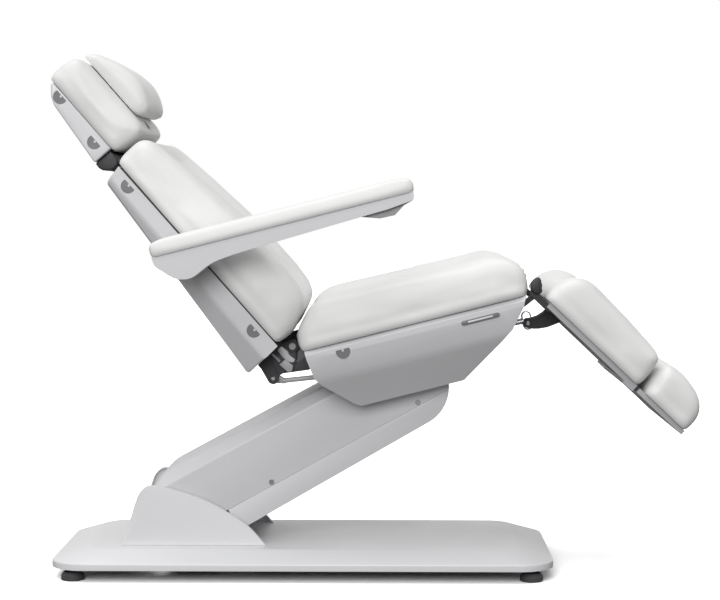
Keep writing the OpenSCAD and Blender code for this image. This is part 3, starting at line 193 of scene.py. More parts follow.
def brushedMetal(name, look):
    # drawn lines along x stretch the highlight, and a haze of zinc dulls it in patches
    material, tree = newMaterial(name)
    where = addNode(tree, "ShaderNodeTexCoord").outputs["Object"]
    along = addNode(tree, "ShaderNodeMapping", {"Scale": (0.06, 1, 1)}, {"Vector": where})
    drawn = noise(tree, look["lineSize"], 3.0, along.outputs[0])
    haze = noise(tree, look["hazeSize"], 4.0, where)
    shader = addNode(tree, "ShaderNodeBsdfPrincipled", {"Metallic": 1.0}, {
        "Base Color": tintFrom(tree, look, haze), "Roughness": roughFrom(tree, look, haze),
        "Normal": bumpFrom(tree, 0.25, 0.05, drawn)})
    addNode(tree, "ShaderNodeOutputMaterial", links={"Surface": shader.outputs[0]})
    return material


def layeredWood(name, look):
    # long grain stretched along x
    material, tree = newMaterial(name)
    where = addNode(tree, "ShaderNodeTexCoord").outputs["Object"]
    along = addNode(tree, "ShaderNodeMapping", {"Scale": (0.08, 1, 1)}, {"Vector": where})
    grain = noise(tree, look["grainSize"], 6.0, along.outputs[0])
    shader = addNode(tree, "ShaderNodeBsdfPrincipled", {"Roughness": 0.6, "IOR": 1.5}, {
        "Base Color": tintFrom(tree, look, grain), "Normal": bumpFrom(tree, 0.3, 0.1, grain)})
    addNode(tree, "ShaderNodeOutputMaterial", links={"Surface": shader.outputs[0]})
    return material


# White PU leather, embossed with a fine hide grain of 1.6 mm and a satin top coat:
# gives soft broad highlights. The grain of the real one is nearer 0.8 mm.
padLeather = softPlastic("paddedPuLeather", {
    "colour": "#e3e3e2", "second": "#dcdcdb", "driftSize": 160, "gloss": (0.42, 0.52), "ior": 1.5,
    "cells": True, "grainSize": 1.6, "grainStrength": 0.18, "grainHeight": 0.12})
# Vacuum-formed ABS, white, with a spark-etched texture: even satin surface
# its light grey is partly the plastic's own and partly painted shade of the covers under the cushions' overhang
coverAbs = softPlastic("vacuumFormedAbs", {
    "colour": "#d4d4d6", "second": "#cdcdcf", "driftSize": 220, "gloss": (0.34, 0.42), "ior": 1.53,
    "grainSize": 1.1, "grainStrength": 0.12, "grainHeight": 0.05})
# The same ABS of the base and its cheeks, a copy a touch lighter than the covers': painted light, so the base
# top seen at a grazing angle reads as brightly lit
paintedLightBaseAbs = softPlastic("vacuumFormedAbsPaintedLight", {
    "colour": "#dededf", "second": "#d8d8da", "driftSize": 190, "gloss": (0.36, 0.42), "ior": 1.53,
    "grainSize": 1.1, "grainStrength": 0.12, "grainHeight": 0.05})
# Injection-moulded armrest shell and clip parts, smoother and brighter
shellAbs = softPlastic("injectionMouldedAbs", {
    "colour": "#dadadc", "second": "#d3d3d5", "driftSize": 140, "gloss": (0.26, 0.34), "ior": 1.53,
    "grainSize": 0.9, "grainStrength": 0.08, "grainHeight": 0.04})
# Grey nylon of the clips, darkened with painted shade of the recesses round them; the side slots' beds take the
# same painted shade
clipShade = softPlastic("greyNylonPaintedShade", {
    "colour": "#747476", "second": "#6a6a6d", "driftSize": 30, "gloss": (0.4, 0.5), "ior": 1.53,
    "grainSize": 0.9, "grainStrength": 0.15, "grainHeight": 0.05})
gripNylon = softPlastic("softTouchGrip", {
    "colour": "#a2a2a4", "second": "#969698", "driftSize": 40, "gloss": (0.5, 0.6), "ior": 1.5,
    "grainSize": 1.0, "grainStrength": 0.25, "grainHeight": 0.08})
# Powder coat: slight orange peel of about 2 mm on welded steel
blackCoat = softPlastic("blackPowderCoat", {
    "colour": "#232326", "second": "#1b1b1e", "driftSize": 60, "gloss": (0.38, 0.5), "ior": 1.5,
    "grainSize": 2.0, "grainStrength": 0.25, "grainHeight": 0.08})
greyCoat = softPlastic("silverPowderCoat", {
    "colour": "#b6b6b8", "second": "#acacaf", "driftSize": 80, "gloss": (0.36, 0.46), "ior": 1.5,
    "grainSize": 2.0, "grainStrength": 0.2, "grainHeight": 0.08})
frameCoat = softPlastic("graphitePowderCoat", {
    "colour": "#4a4a4d", "second": "#404044", "driftSize": 80, "gloss": (0.38, 0.48), "ior": 1.5,
    "grainSize": 2.0, "grainStrength": 0.2, "grainHeight": 0.08})
motorPlastic = softPlastic("glassFilledNylon", {
    "colour": "#2b2b2e", "second": "#222225", "driftSize": 40, "gloss": (0.45, 0.58), "ior": 1.53,
    "grainSize": 1.0, "grainStrength": 0.25, "grainHeight": 0.06})
footRubber = softPlastic("mouldedRubber", {
    "colour": "#4b4b4d", "second": "#414143", "driftSize": 25, "gloss": (0.6, 0.75), "ior": 1.52,
    "grainSize": 1.3, "grainStrength": 0.3, "grainHeight": 0.08})
zincSteel = brushedMetal("zincPlatedSteel", {
    "colour": "#a4a6a9", "second": "#8f9194", "lineSize": 0.8, "hazeSize": 12, "gloss": (0.24, 0.4)})
chromeSteel = brushedMetal("chromedSteel", {
    "colour": "#dcdee0", "second": "#cfd1d4", "lineSize": 1.0, "hazeSize": 20, "gloss": (0.14, 0.2)})
bushBronze = brushedMetal("sinteredBronze", {
    "colour": "#b18a4c", "second": "#96723a", "lineSize": 0.8, "hazeSize": 6, "gloss": (0.32, 0.5)})
# Birch ply faced with a dark phenolic film, with the grain just showing through; drawn lighter than the film's
# near-black: painted light, so the board's shaded edge in the seam under the cushions reads mid-grey
filmPly = layeredWood("filmFacedPlywood", {"colour": "#6d6965", "second": "#5d5956", "grainSize": 3.0})
print("stage: materials")


# Helpers for shaping
def editAll(piece):
    activate(piece)
    bpy.ops.object.mode_set(mode="EDIT")
    bpy.ops.mesh.select_all(action="SELECT")


def endEdit():
    bpy.ops.object.mode_set(mode="OBJECT")


def clearPicks(mesh):
    for group in (mesh.vertices, mesh.edges, mesh.polygons):
        group.foreach_set("select", [False] * len(group))


def faceOutwards():  # in edit mode
    bpy.ops.mesh.select_all(action="SELECT")
    bpy.ops.mesh.normals_make_consistent(inside=False)
    endEdit()


def pickEdges(piece, test):  # leaves edit mode on, with the edges that pass selected
    activate(piece)
    mesh = piece.data
    normals = {}
    for face in mesh.polygons:
        for key in face.edge_keys:
            normals.setdefault(key, []).append(face.normal.copy())
    clearPicks(mesh)
    for edge in mesh.edges:
        a, b = (mesh.vertices[i].co for i in edge.vertices)
        sides = normals.get(edge.key, [])
        turn = math.degrees(sides[0].angle(sides[1], 0)) if len(sides) == 2 else 0
        edge.select = bool(test(a, b, turn))
    bpy.context.tool_settings.mesh_select_mode = (False, True, False)
    bpy.ops.object.mode_set(mode="EDIT")


def pickFaces(piece, test):
    activate(piece)
    mesh = piece.data
    clearPicks(mesh)
    for face in mesh.polygons:
        face.select = bool(test(face.center, face.normal))
    bpy.context.tool_settings.mesh_select_mode = (False, False, True)
    bpy.ops.object.mode_set(mode="EDIT")


def bevelPicked(width, segments=3):
    bpy.ops.mesh.bevel(offset=width, segments=segments, profile=0.5, affect="EDGES", clamp_overlap=True)
    endEdit()


def takeCopy(name, nodeName, place):  # a node's solid, merged and laid flat in its section's frame
    mesh = nodes[nodeName].data.copy()
    mesh.materials.clear()
    mesh.transform(place.inverted())
    piece = bpy.data.objects.new(name, mesh)
    bpy.context.scene.collection.objects.link(piece)
    editAll(piece)
    bpy.ops.mesh.remove_doubles(threshold=0.01 * mm)
    bpy.ops.mesh.dissolve_limited(angle_limit=math.radians(0.3))
    bpy.ops.mesh.normals_make_consistent(inside=False)
    endEdit()
    bpy.ops.mesh.customdata_custom_splitnormals_clear()
    return piece


def applyModifier(piece, kind, **settings):
    activate(piece)
    modifier = piece.modifiers.new("step", kind)
    for name, value in settings.items():
        setattr(modifier, name, value)
    bpy.ops.object.modifier_apply(modifier=modifier.name)


def finishPiece(piece, place, body, material, replaced=(), smooth=32):
    piece.data.transform(place)
    piece.data.materials.clear()
    piece.data.materials.append(material)
    activate(piece)
    if smooth:
        bpy.ops.object.shade_smooth_by_angle(angle=math.radians(smooth))
    else:
        bpy.ops.object.shade_smooth()
    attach(piece, body)
    if replaced:
        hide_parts(*replaced)
    return piece


coverFit = {"grow": 0.06, "weld": 0.02}  # the trimming form stands off the wall, so that the two never coincide


def softCover(name, nodeName, section, body, bevels, material, lean=None):
    # the moulded wall of the solid, trimmed by its own outer form with soft edges
    place = placeOf(section)
    cover = takeCopy(name, nodeName, place)
    form = bpy.data.objects.new(name + "Form", cover.data.copy())
    bpy.context.scene.collection.objects.link(form)
    editAll(form)
    bpy.ops.mesh.convex_hull()
    bpy.ops.mesh.select_all(action="SELECT")
    bpy.ops.mesh.dissolve_limited(angle_limit=math.radians(1))
    faceOutwards()
    applyModifier(form, "DISPLACE", strength=coverFit["grow"] * mm, mid_level=0)
    for width, segments, test in bevels:
        pickEdges(form, test)
        bevelPicked(width * mm, segments)
    applyModifier(cover, "BOOLEAN", operation="INTERSECT", solver="EXACT", object=form)
    bpy.data.objects.remove(form)
    if lean:  # a crease along the side, below it the panel leans in under the bed
        editAll(cover)
        bpy.ops.mesh.bisect(plane_co=(0, 0, lean["from"] * mm), plane_no=(0, 0, 1))
        endEdit()
        for vertex in cover.data.vertices:
            drop = lean["from"] * mm - vertex.co.z
            if drop > 0:
                reach = (lean["from"] - lean["to"]) * mm
                share = min(1, drop / reach) * min(1, abs(vertex.co.y) / (lean["middle"] * mm))
                vertex.co.y -= math.copysign(lean["in"] * mm * share, vertex.co.y)
    editAll(cover)
    bpy.ops.mesh.remove_doubles(threshold=coverFit["weld"] * mm)
    endEdit()
    print("cover", name, len(cover.data.polygons), "faces")
    return finishPiece(cover, place, body, material, (nodeName,), 30)


def isUpright(a, b):
    return abs(a.z - b.z) > 0.8 * (a - b).length


# Moulded covers
coverEdges = {"corner": 7, "crease": 9, "headEnd": 20, "rim": 1.6, "arm": 8, "armLow": 7, "armRim": 1.2,
              "baseTop": 6, "baseLip": 3}
coverLevels = {"seatRim": -2, "backCrease": -20, "backRim": -18, "headEnd": 20, "headRim": 24, "armTop": -50,
               "armRim": -54, "armLow": -58, "armLowRim": -56, "baseTop": -108, "lipTop": -118, "lipLow": -128}


def above(a, b, level):  # whether an edge lies above one of the levels
    return min(a.z, b.z) > coverLevels[level] * mm


def below(a, b, level):
    return max(a.z, b.z) < coverLevels[level] * mm


softCover("seatCoverShell", "seat_cover", "seat", "seat", [
    (coverEdges["corner"], 4, lambda a, b, turn: turn > 60 and isUpright(a, b)),
    (coverEdges["crease"], 3, lambda a, b, turn: 8 < turn < 60),
    (coverEdges["rim"], 2, lambda a, b, turn: turn > 60 and above(a, b, "seatRim"))], coverAbs,
    {"from": -23, "to": -70, "in": 11, "middle": 200})
softCover("backCoverShell", "back_cover", "back", "back", [
    (coverEdges["crease"], 4, lambda a, b, turn: 8 < turn and below(a, b, "backCrease")),
    (coverEdges["rim"], 2, lambda a, b, turn: turn > 60 and above(a, b, "backRim"))], coverAbs)
softCover("headCoverShell", "head_cover", "head", "head", [
    (coverEdges["headEnd"], 6, lambda a, b, turn: 8 < turn and min(a.z, b.z) < coverLevels["headEnd"] * mm),
    (coverEdges["rim"], 2, lambda a, b, turn: turn > 60 and above(a, b, "headRim"))], coverAbs)
softCover("armUpperShell", "arm_upper_cover", "arm", "lift_arm", [
    (coverEdges["arm"], 4, lambda a, b, turn: 15 < turn < 80 and above(a, b, "armTop")),
    (coverEdges["armRim"], 2, lambda a, b, turn: turn > 40 and below(a, b, "armRim"))], coverAbs)
softCover("armLowerShell", "arm_lower_cover", "arm", "lift_arm", [
    (coverEdges["armLow"], 4, lambda a, b, turn: 60 < turn and below(a, b, "armLow")),
    (coverEdges["armRim"], 2, lambda a, b, turn: turn > 40 and above(a, b, "armLowRim"))], coverAbs)
softCover("baseShell", "base_cover", "base", "base", [
    (coverEdges["baseTop"], 4, lambda a, b, turn: 12 < turn and above(a, b, "baseTop")),
    (coverEdges["baseLip"], 3,
     lambda a, b, turn: 12 < turn and below(a, b, "lipTop") and above(a, b, "lipLow"))], paintedLightBaseAbs)


cheekEdge = {"face": 166, "round": 2.6}


def softCheek(name, nodeName, side):
    place = placeOf("base")
    cheek = takeCopy(name, nodeName, place)
    outer = side * cheekEdge["face"] * mm
    pickEdges(cheek, lambda a, b, turn: turn > 60 and max(abs(a.y - outer), abs(b.y - outer)) < hair)
    bevelPicked(cheekEdge["round"] * mm, 4)
    return finishPiece(cheek, place, "base", paintedLightBaseAbs, (nodeName,), 30)


softCheek("leftCheek", "left_cheek_cover", 1)
softCheek("rightCheek", "right_cheek_cover", -1)
print("stage: covers")


# Armrest shells
armShell = {"halfWidth": 42, "round": 13, "rounds": 6, "seam": 36, "middle": 372}


def roundShell(name, nodeName, body, side):
    # the outline of the solid's outer wall, drawn out to its width and rounded over to the underside
    place = placeOf("rest") @ Matrix.Translation((0, side * armShell["middle"] * mm, 0))
    shell = takeCopy(name, nodeName, place)
    outer = side * armShell["halfWidth"] * mm
    pickFaces(shell, lambda c, n: abs(c.y - outer) > hair or abs(n.y) < 0.9)
    bpy.ops.mesh.delete(type="FACE")
    bpy.ops.mesh.select_all(action="SELECT")
    bpy.ops.mesh.dissolve_faces()
    bpy.ops.mesh.select_all(action="SELECT")
    bpy.ops.mesh.extrude_region_move(TRANSFORM_OT_translate={"value": (0, -2 * outer, 0)})
    faceOutwards()
    seam = armShell["seam"] * mm
    pickEdges(shell, lambda a, b, turn: turn > 60 and abs(a.y - b.y) < hair and max(a.z, b.z) < seam)
    bevelPicked(armShell["round"] * mm, armShell["rounds"])
    print("shell", name, len(shell.data.polygons), "faces")
    return finishPiece(shell, place, body, shellAbs, (nodeName,), 40)


roundShell("leftArmShell", "left_arm_shell", "armrest_left", 1)
roundShell("rightArmShell", "right_arm_shell", "armrest_right", -1)
print("stage: armrest shells")


# Cushions
def easeIn(t):
    t = min(1, max(0, t))
    return t * t * (3 - 2 * t)


leather = {"quality": 4, "stretch": 20, "bend": 2}  # how the cloth holds against the pressure


def stuffed(cushion, spec):
    # pressure from inside swells the copy against its pinned underside
    rest = [v.co.copy() for v in cushion.data.vertices]
    low = min(p.z for p in rest)
    held = cushion.vertex_groups.new(name="underside")
    held.add([i for i, p in enumerate(rest) if p.z < low + spec["heldRise"] * mm], 1.0, "REPLACE")
    cloth = cushion.modifiers.new("cloth", "CLOTH")
    settings = cloth.settings
    settings.use_pressure = True
    settings.uniform_pressure_force = spec["pressure"]
    settings.effector_weights.gravity = 0
    settings.vertex_group_mass = "underside"
    settings.quality = leather["quality"]
    settings.tension_stiffness = settings.compression_stiffness = leather["stretch"]
    settings.bending_stiffness = leather["bend"]
    cloth.collision_settings.use_collision = False
    cloth.point_cache.frame_start, cloth.point_cache.frame_end = 1, spec["steps"]
    for step in range(1, spec["steps"] + 1):
        bpy.context.scene.frame_set(step)
    activate(cushion)
    bpy.ops.object.modifier_apply(modifier=cloth.name)
    bpy.context.scene.frame_set(1)
    cushion.vertex_groups.clear()
    for vertex, start in zip(cushion.data.vertices, rest):
        move = vertex.co - start
        if move.length > spec["cap"] * mm:
            vertex.co = start + move * (spec["cap"] * mm / move.length)


def cutUnderside(cushion, base):  # trims the sunk copy flat, so its lower edge stays crisp over the seam
    editAll(cushion)
    bpy.ops.mesh.bisect(plane_co=(0, 0, base), plane_no=(0, 0, 1), use_fill=True, clear_inner=True)
    faceOutwards()


def between(value, low, high):  # eases from 0 at low to 1 at high
    return easeIn((value - low) / (high - low))


def sinkHollow(cushion, dish):
    for vertex in cushion.data.vertices:
        p = vertex.co
        across = easeIn((dish["half"] * mm - abs(p.y)) / (dish["ramp"] * mm))
        along = between(p.x / mm, *dish["from"]) * (1 - between(p.x / mm, *dish["to"]))
        p.z -= dish["deep"] * mm * across * along * between(p.z / mm, dish["low"], dish["high"])


def makeCushion(name, nodeName, section, body, spec):
    place = placeOf(section)
    cushion = takeCopy(name, nodeName, place)
    spec = spec | {"base": min(v.co.z for v in cushion.data.vertices)}
    applyModifier(cushion, "DISPLACE", strength=-spec["shrink"] * mm, mid_level=0)
    applyModifier(cushion, "REMESH", mode="VOXEL", voxel_size=spec["voxel"] * mm)
    for vertex in cushion.data.vertices:  # sinks the underside, it is trimmed off again at the end
        rise = (vertex.co.z - spec["base"]) / mm
        vertex.co.z -= spec["sink"] * mm * (1 - easeIn(rise / spec["sinkTo"] / spec["sink"]))
    editAll(cushion)
    bpy.ops.mesh.vertices_smooth(factor=0.5, repeat=spec["soften"])
    endEdit()
    stuffed(cushion, spec)
    editAll(cushion)
    bpy.ops.mesh.vertices_smooth(factor=0.5, repeat=spec["calm"])
    endEdit()
    for vertex in cushion.data.vertices:  # stands the sides upright over the seam
        rise = (vertex.co.z - spec["base"]) / mm
        vertex.co.y *= 1 + spec["flare"] * (1 - easeIn(rise / spec["uprightTo"]))
    for end, over, by in spec.get("pulls", ()):  # draws an end in or out
        for vertex in cushion.data.vertices:
            vertex.co.x += by * mm * easeIn(1 - abs(vertex.co.x / mm - end) / over)
    if spec.get("dish"):
        sinkHollow(cushion, spec["dish"])
    applyModifier(cushion, "SUBSURF", levels=1, render_levels=1)
    if spec.get("trim"):  # draws the form in towards a line and a level, and shifts it along
        (line, alongShare, shift), (level, upShare) = spec["trim"]
        for vertex in cushion.data.vertices:
            vertex.co.x = (line + shift) * mm + (vertex.co.x - line * mm) * alongShare
            vertex.co.z = level * mm + (vertex.co.z - level * mm) * upShare
    cutUnderside(cushion, spec["base"])
    print("cushion", name, len(cushion.data.polygons), "faces")
    finishPiece(cushion, place, body, padLeather, (nodeName,), 50)
    return cushion


firm = {"shrink": 2.5, "voxel": 8, "soften": 8, "sink": 12, "sinkTo": 2.5, "heldRise": 6, "steps": 20,
        "pressure": 2, "cap": 3, "calm": 6, "flare": 0.03, "uprightTo": 32, "fill": 0.9}
hollow = {"half": 225, "ramp": 70}  # the sitting hollow's half width and how far its sides slope
makeCushion("seatCushion", "seat_cushion", "seat", "seat", firm | {
    "pulls": ((545, 90, 5), (-4, 90, -9)),
    "dish": hollow | {"deep": 21, "from": (-10, 60), "to": (380, 520), "low": 60, "high": 95}})
makeCushion("backCushion", "back_cushion", "back", "back", firm | {
    "dish": hollow | {"deep": 20, "from": (-600, -520), "to": (-140, -60), "low": 35, "high": 70}})
makeCushion("headCushion", "head_cushion", "head", "head", firm | {"voxel": 7, "pulls": ((-222, 80, -13),)})
makeCushion("facePillow", "face_pillow", "head", "pillow", firm | {
    "voxel": 6, "soften": 5, "flare": 0, "trim": ((-214, 0.95, -15), (111, 0.87))})
makeCushion("legCushion", "leg_cushion", "leg", "leg", firm | {
    "voxel": 7, "pulls": ((-20, 110, 13),),
    "dish": hollow | {"deep": 19, "from": (10, 60), "to": (230, 320), "low": 50, "high": 80}})
makeCushion("footCushion", "foot_cushion", "leg", "foot", firm | {"voxel": 7})
small = firm | {"shrink": 2, "voxel": 5, "soften": 2, "sink": 7, "heldRise": 4, "cap": 2, "calm": 3, "flare": 0}
makeCushion("leftArmPad", "left_arm_pad", "rest", "armrest_left", small)
makeCushion("rightArmPad", "right_arm_pad", "rest", "armrest_right", small)
print("stage: cushions")


# Hinge covers, rod ends and leg rest steel
def drawnBlock(name, outline, low, high, edge, section, body, material, rounds=3):
    # a profile drawn point by point on a circle, then drawn out in width and rounded
    bpy.ops.object.select_all(action="DESELECT")
    bpy.ops.mesh.primitive_circle_add(vertices=len(outline), radius=0.01, fill_type="NGON", location=(0, 0, 0))
    block = bpy.context.object
    block.name = name
    for vertex, (x, z) in zip(block.data.vertices, outline):
        vertex.co = (x * mm, low * mm, z * mm)
    editAll(block)
    bpy.ops.mesh.extrude_region_move(TRANSFORM_OT_translate={"value": (0, (high - low) * mm, 0)})
    faceOutwards()
    pickEdges(block, lambda a, b, turn: abs(a.y - b.y) > 0.5 * (a - b).length and turn > 12)
    bevelPicked(edge * mm, rounds)
    pickEdges(block, lambda a, b, turn: abs(a.y - b.y) < hair and turn > 60)
    bevelPicked(min(edge, abs(high - low) / 3) * mm, rounds)
    return finishPiece(block, placeOf(section), body, material, (), 35)


# The long black cover over the head hinge fills the gap between the two moulded covers
headHinge = {"outline": [(-23, -28), (-8, -29), (2, -25), (12, -13), (15, -3), (14, 12), (5, 17), (-12, 20),
                         (-23, 18)], "half": 204, "edge": 4}
drawnBlock("headHingeCover", headHinge["outline"], -headHinge["half"], headHinge["half"], headHinge["edge"],
           "head", "head", motorPlastic)
# A black knuckle caps each end of the knee hinge
kneeCap = {"outline": [(-16, -7), (-17, 4), (-15, 13), (-9, 18), (-1, 15), (5, 7), (12, 3), (18, -1), (18, -11),
                       (9, -17), (-4, -17)], "low": 273.2, "high": 281, "edge": 3}
for sideName, side in (("left", 1), ("right", -1)):
    drawnBlock(sideName + "KneeCap", kneeCap["outline"], side * kneeCap["low"], side * kneeCap["high"],
               kneeCap["edge"], "leg", "leg", blackCoat)


def turnedPart(name, rings, at, section, body, material, replaced=(), along="y"):
    # (distance along the axis, radius) pairs spun round an axis across the bed, or one along its section
    bpy.ops.object.select_all(action="DESELECT")
    bpy.ops.mesh.primitive_circle_add(vertices=len(rings), radius=0.01, fill_type="NOTHING", location=(0, 0, 0))
    part = bpy.context.object
    part.name = name
    for vertex, (y, radius) in zip(part.data.vertices, rings):
        vertex.co = (radius * mm, y * mm, 0)
    editAll(part)
    bpy.ops.mesh.spin(steps=32, angle=math.tau, center=(0, 0, 0), axis=(0, 1, 0))
    bpy.ops.mesh.select_all(action="SELECT")
    bpy.ops.mesh.remove_doubles(threshold=0.001 * mm)
    faceOutwards()
    if along == "x":
        part.data.transform(Matrix.Rotation(math.radians(-90), 4, "Z"))
    part.data.transform(Matrix.Translation([v * mm for v in at]))
    return finishPiece(part, placeOf(section), body, material, replaced, 35)


def pinHead(name, face, out, radius, at, section, body, material=zincSteel):
    # a domed pin head standing on a face across the bed; out is +1 or -1
    rings = [(0, 0), (0, radius), (0.3 * radius, radius), (0.5 * radius, 0.72 * radius), (0.5 * radius, 0)]
    rings = [(out * y, r) for y, r in rings]
    return turnedPart(name, rings, (at[0], face, at[1]), section, body, material)


# Levers' pins show their bright heads on both sides of the lever
leverPins = {
    "kneeLeverPin": {"section": "leg", "at": (58, -78), "radius": 5.5, "faces": (-146, -110)},
    "backLeverPin": {"section": "back", "at": (28, -85), "radius": 5.5, "faces": (-194, -158)},
}
for label, pin in leverPins.items():
    for face, out, sideName in zip(pin["faces"], (-1, 1), ("Near", "Far")):
        pinHead(label + sideName, face, out, pin["radius"], pin["at"], pin["section"], pin["section"])

rodPlate = {"half": 6, "edge": 1.2, "cutterEdge": 0.1}


def rodEnd(name, outline, hole, middle, section, body, replaced, material):
    # flat rod end with rounded edges, cut through where it has a slot
    def plate(label, shape, half, edge, rounds):
        low, high = middle - half, middle + half
        return drawnBlock(label, shape, low, high, edge, section, body, material, rounds)

    end = plate(name, outline, rodPlate["half"], rodPlate["edge"], 2)
    if hole:
        cutter = plate(name + "Cutter", hole, 2 * rodPlate["half"], rodPlate["cutterEdge"], 1)
        applyModifier(end, "BOOLEAN", operation="DIFFERENCE", solver="EXACT", object=cutter)
        bpy.data.objects.remove(cutter)
    activate(end)
    bpy.ops.object.shade_smooth_by_angle(angle=math.radians(35))
    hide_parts(*replaced)
    return end


# A dark gusset stands beside each rear hinge ear of the seat and fills the gap under the hinge
gusset = {"outline": [(-6, 4), (18, -10), (20, -40), (-7, -53), (-70, -46), (-66, -30), (-46, -22), (-30, -24),
                      (-22, -4)], "near": 185.4, "far": 182.8, "edge": 0.8}
for sideName, side in (("left", 1), ("right", -1)):
    drawnBlock(sideName + "RearGusset", gusset["outline"], side * gusset["near"], side * gusset["far"],
               gusset["edge"], "seat", "seat", frameCoat, 2)

# Beside it the back's lever has a web, with a light cam, a stop block and a bolt on it
leverParts = {
    "Web": {"outline": [(-20, -92), (-22, -20), (-8, 8), (14, -2), (36, -19), (34, -63), (30, -80), (8, -92)],
            "near": 190.5, "far": 188, "edge": 0.6, "slot": "painted_steel", "finish": frameCoat},
    "Cam": {"outline": [(-16, -33), (-18, -19), (3, -15), (10, -19), (29, -15), (31, -24), (21, -32), (6, -35)],
            "near": 197, "far": 190, "edge": 3, "slot": "moulded_cover", "finish": shellAbs},
    "Block": {"outline": [(12, -52), (12, -33), (36, -28), (44, -39), (40, -48)],
              "near": 200, "far": 190, "edge": 2, "slot": "moulded_cover", "finish": greyCoat},
    "Bolt": {"outline": [(-18, -51), (-18, -45), (8, -42.5), (9, -49)],
             "near": 198, "far": 190, "edge": 2, "slot": "bright_steel", "finish": greyCoat},
}
for sideName, side in (("left", 1), ("right", -1)):
    for label, part in leverParts.items():
        drawnBlock(f"{sideName}Lever{label}", part["outline"], side * part["near"], side * part["far"],
                   part["edge"], "back", "back", part["finish"], 2)


def arcPoints(center, radius, start, stop, count):
    turns = [math.radians(start + (stop - start) * i / count) for i in range(count + 1)]
    return [(center[0] + radius * math.cos(turn), center[1] + radius * math.sin(turn)) for turn in turns]


# The back's rod ends in an eye round the lever's pin, the leg's rod in a rounded slot
backEye = {"pin": (-53.6, -71.7), "eye": 12.5, "neck": [(-30, -88), (-30, -73.5)], "lane": -176, "axis": -80.7,
           "shank": [(-33, 0), (-33, 6), (-32, 7), (-26, 7), (-25, 6), (150, 6), (150, 0)]}
rodEnd("backRodEye", arcPoints(backEye["pin"], backEye["eye"], 50, 285, 20) + backEye["neck"], None,
       backEye["lane"], "backMotor", "back_rod_body", ("back_rod",), greyCoat)
turnedPart("backRodShank", backEye["shank"], (0, backEye["lane"], backEye["axis"]), "backMotor", "back_rod_body",
           greyCoat, (), "x")
legSlot = {"high": (-30.2, -74.9), "low": (-30.2, -97.2), "wall": 12, "bore": 8.3, "lane": -128, "axis": -86,
           "shank": [(-170, 0), (-170, 7), (-45, 7), (-44, 8), (-38.8, 8), (-38.8, 0)]}


def slotOutline(radius, count):
    return (arcPoints(legSlot["high"], radius, 0, 180, count)
            + arcPoints(legSlot["low"], radius, 180, 360, count))


rodEnd("legRodSlot", slotOutline(legSlot["wall"], 14), slotOutline(legSlot["bore"], 12), legSlot["lane"],
       "legMotor", "leg_rod_body", ("leg_rod",), chromeSteel)
turnedPart("legRodShank", legSlot["shank"], (0, legSlot["lane"], legSlot["axis"]), "legMotor", "leg_rod_body",
           chromeSteel, (), "x")


def coatedSteel(name, nodeName, section, body, base, isBlack):
    # welded steel in silver coat but for the levers and ears
    place = placeOf(section)
    steel = takeCopy(name, nodeName, place)
    finishPiece(steel, place, body, base, (nodeName,), 30)
    steel.data.materials.append(blackCoat)
    toSection = place.inverted()
    for face in steel.data.polygons:
        if isBlack(toSection @ face.center):
            face.material_index = 1
    return steel


blackSteel = {"lever": (-156, -100), "leverTop": -21.5, "earSide": 259, "earEnd": 66, "allBelow": -28}


def isLeverOrEar(c):
    near, far = blackSteel["lever"]
    onLever = near < c.y / mm < far and c.z / mm < blackSteel["leverTop"]
    onEar = abs(c.y) / mm > blackSteel["earSide"] and c.x / mm < blackSteel["earEnd"]
    return onLever or onEar or c.z / mm < blackSteel["allBelow"]


coatedSteel("legRails", "leg_frame", "leg", "leg", greyCoat, isLeverOrEar)

# Side slots: a rounded bed darkened with painted shade of its recess, with a bright bar across its middle
sideSlot = {"at": (415, -27), "face": 290, "bed": {"half": (46, 5.5), "sunk": 4, "proud": 0.5, "edge": 0.4},
            "bar": {"half": (30, 1.9), "sunk": 1, "proud": 2, "edge": 0.6}}


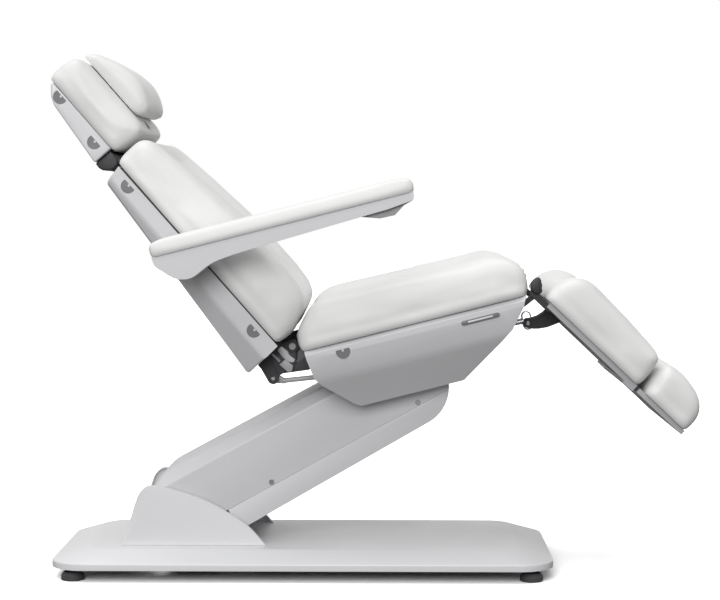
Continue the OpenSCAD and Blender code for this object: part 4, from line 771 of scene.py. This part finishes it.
def slotPart(name, side, part, material):
    (x, z), (length, radius), face = sideSlot["at"], part["half"], sideSlot["face"]
    reach = length - radius
    outline = arcPoints((x + reach, z), radius, -90, 90, 8) + arcPoints((x - reach, z), radius, 90, 270, 8)
    return drawnBlock(name, outline, side * (face - part["sunk"]), side * (face + part["proud"]), part["edge"],
                      "seat", "seat", material, 2)


for sideName, side in (("left", 1), ("right", -1)):
    bed = slotPart(sideName + "SlotBed", side, sideSlot["bed"], clipShade)
    if side > 0:
        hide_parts("side_slot_trims")
    slotPart(sideName + "SlotBar", side, sideSlot["bar"], shellAbs)

# A small light stud sits in the middle of each clip's flat side
clipStuds = {
    "seat": {"face": 290, "at": ((87, -20),)},
    "back": {"face": 285, "at": ((-533, -31), (-89, -33))},
    "head": {"face": 220, "at": ((-60, 7), (-192, 17))},
}
studSize = {"radius": 3, "sunk": 1.5}
for section, studs in clipStuds.items():
    for number, at in enumerate(studs["at"]):
        for side, letter in ((1, "L"), (-1, "R")):
            face = side * (studs["face"] - studSize["sunk"])
            pinHead(f"{section}ClipStud{number}{letter}", face, side, studSize["radius"], at, section, section,
                    coverAbs)
print("stage: hinge covers")


# Materials for the solids that stay
finishes = (
    (frameCoat, ("base_frame", "arm_frame")),
    (footRubber, ("levelling_feet",)),
    (motorPlastic, ("control_box", "mains_inlet", "control_sockets", "lift_motor", "tilt_motor",
                    "head_hinge_barrel", "left_arm_hub", "right_arm_hub")),
    (zincSteel, ("pedestal_pins", "arm_cover_screws", "lift_rod", "carrier_pins", "tilt_rod", "leg_hinge_pins")),
    (bushBronze, ("arm_bushes",)),
    (blackCoat, ("levelling_link", "seat_carrier", "seat_frame", "back_frame", "head_frame")),
    (filmPly, ("seat_board", "back_board")),
    (clipShade, ("seat_clips", "back_clips", "head_clips")),
    (greyCoat, ("back_motor", "leg_motor", "back_hinge_pins", "foot_slide")),
    (padLeather, ("pillow_strap",)),
    (gripNylon, ("left_arm_grip", "right_arm_grip")),
)
for finish, nodeNames in finishes:
    for nodeName in nodeNames:
        mesh = nodes[nodeName].data
        mesh.materials.clear()
        mesh.materials.append(finish)
print("stage: finishes")
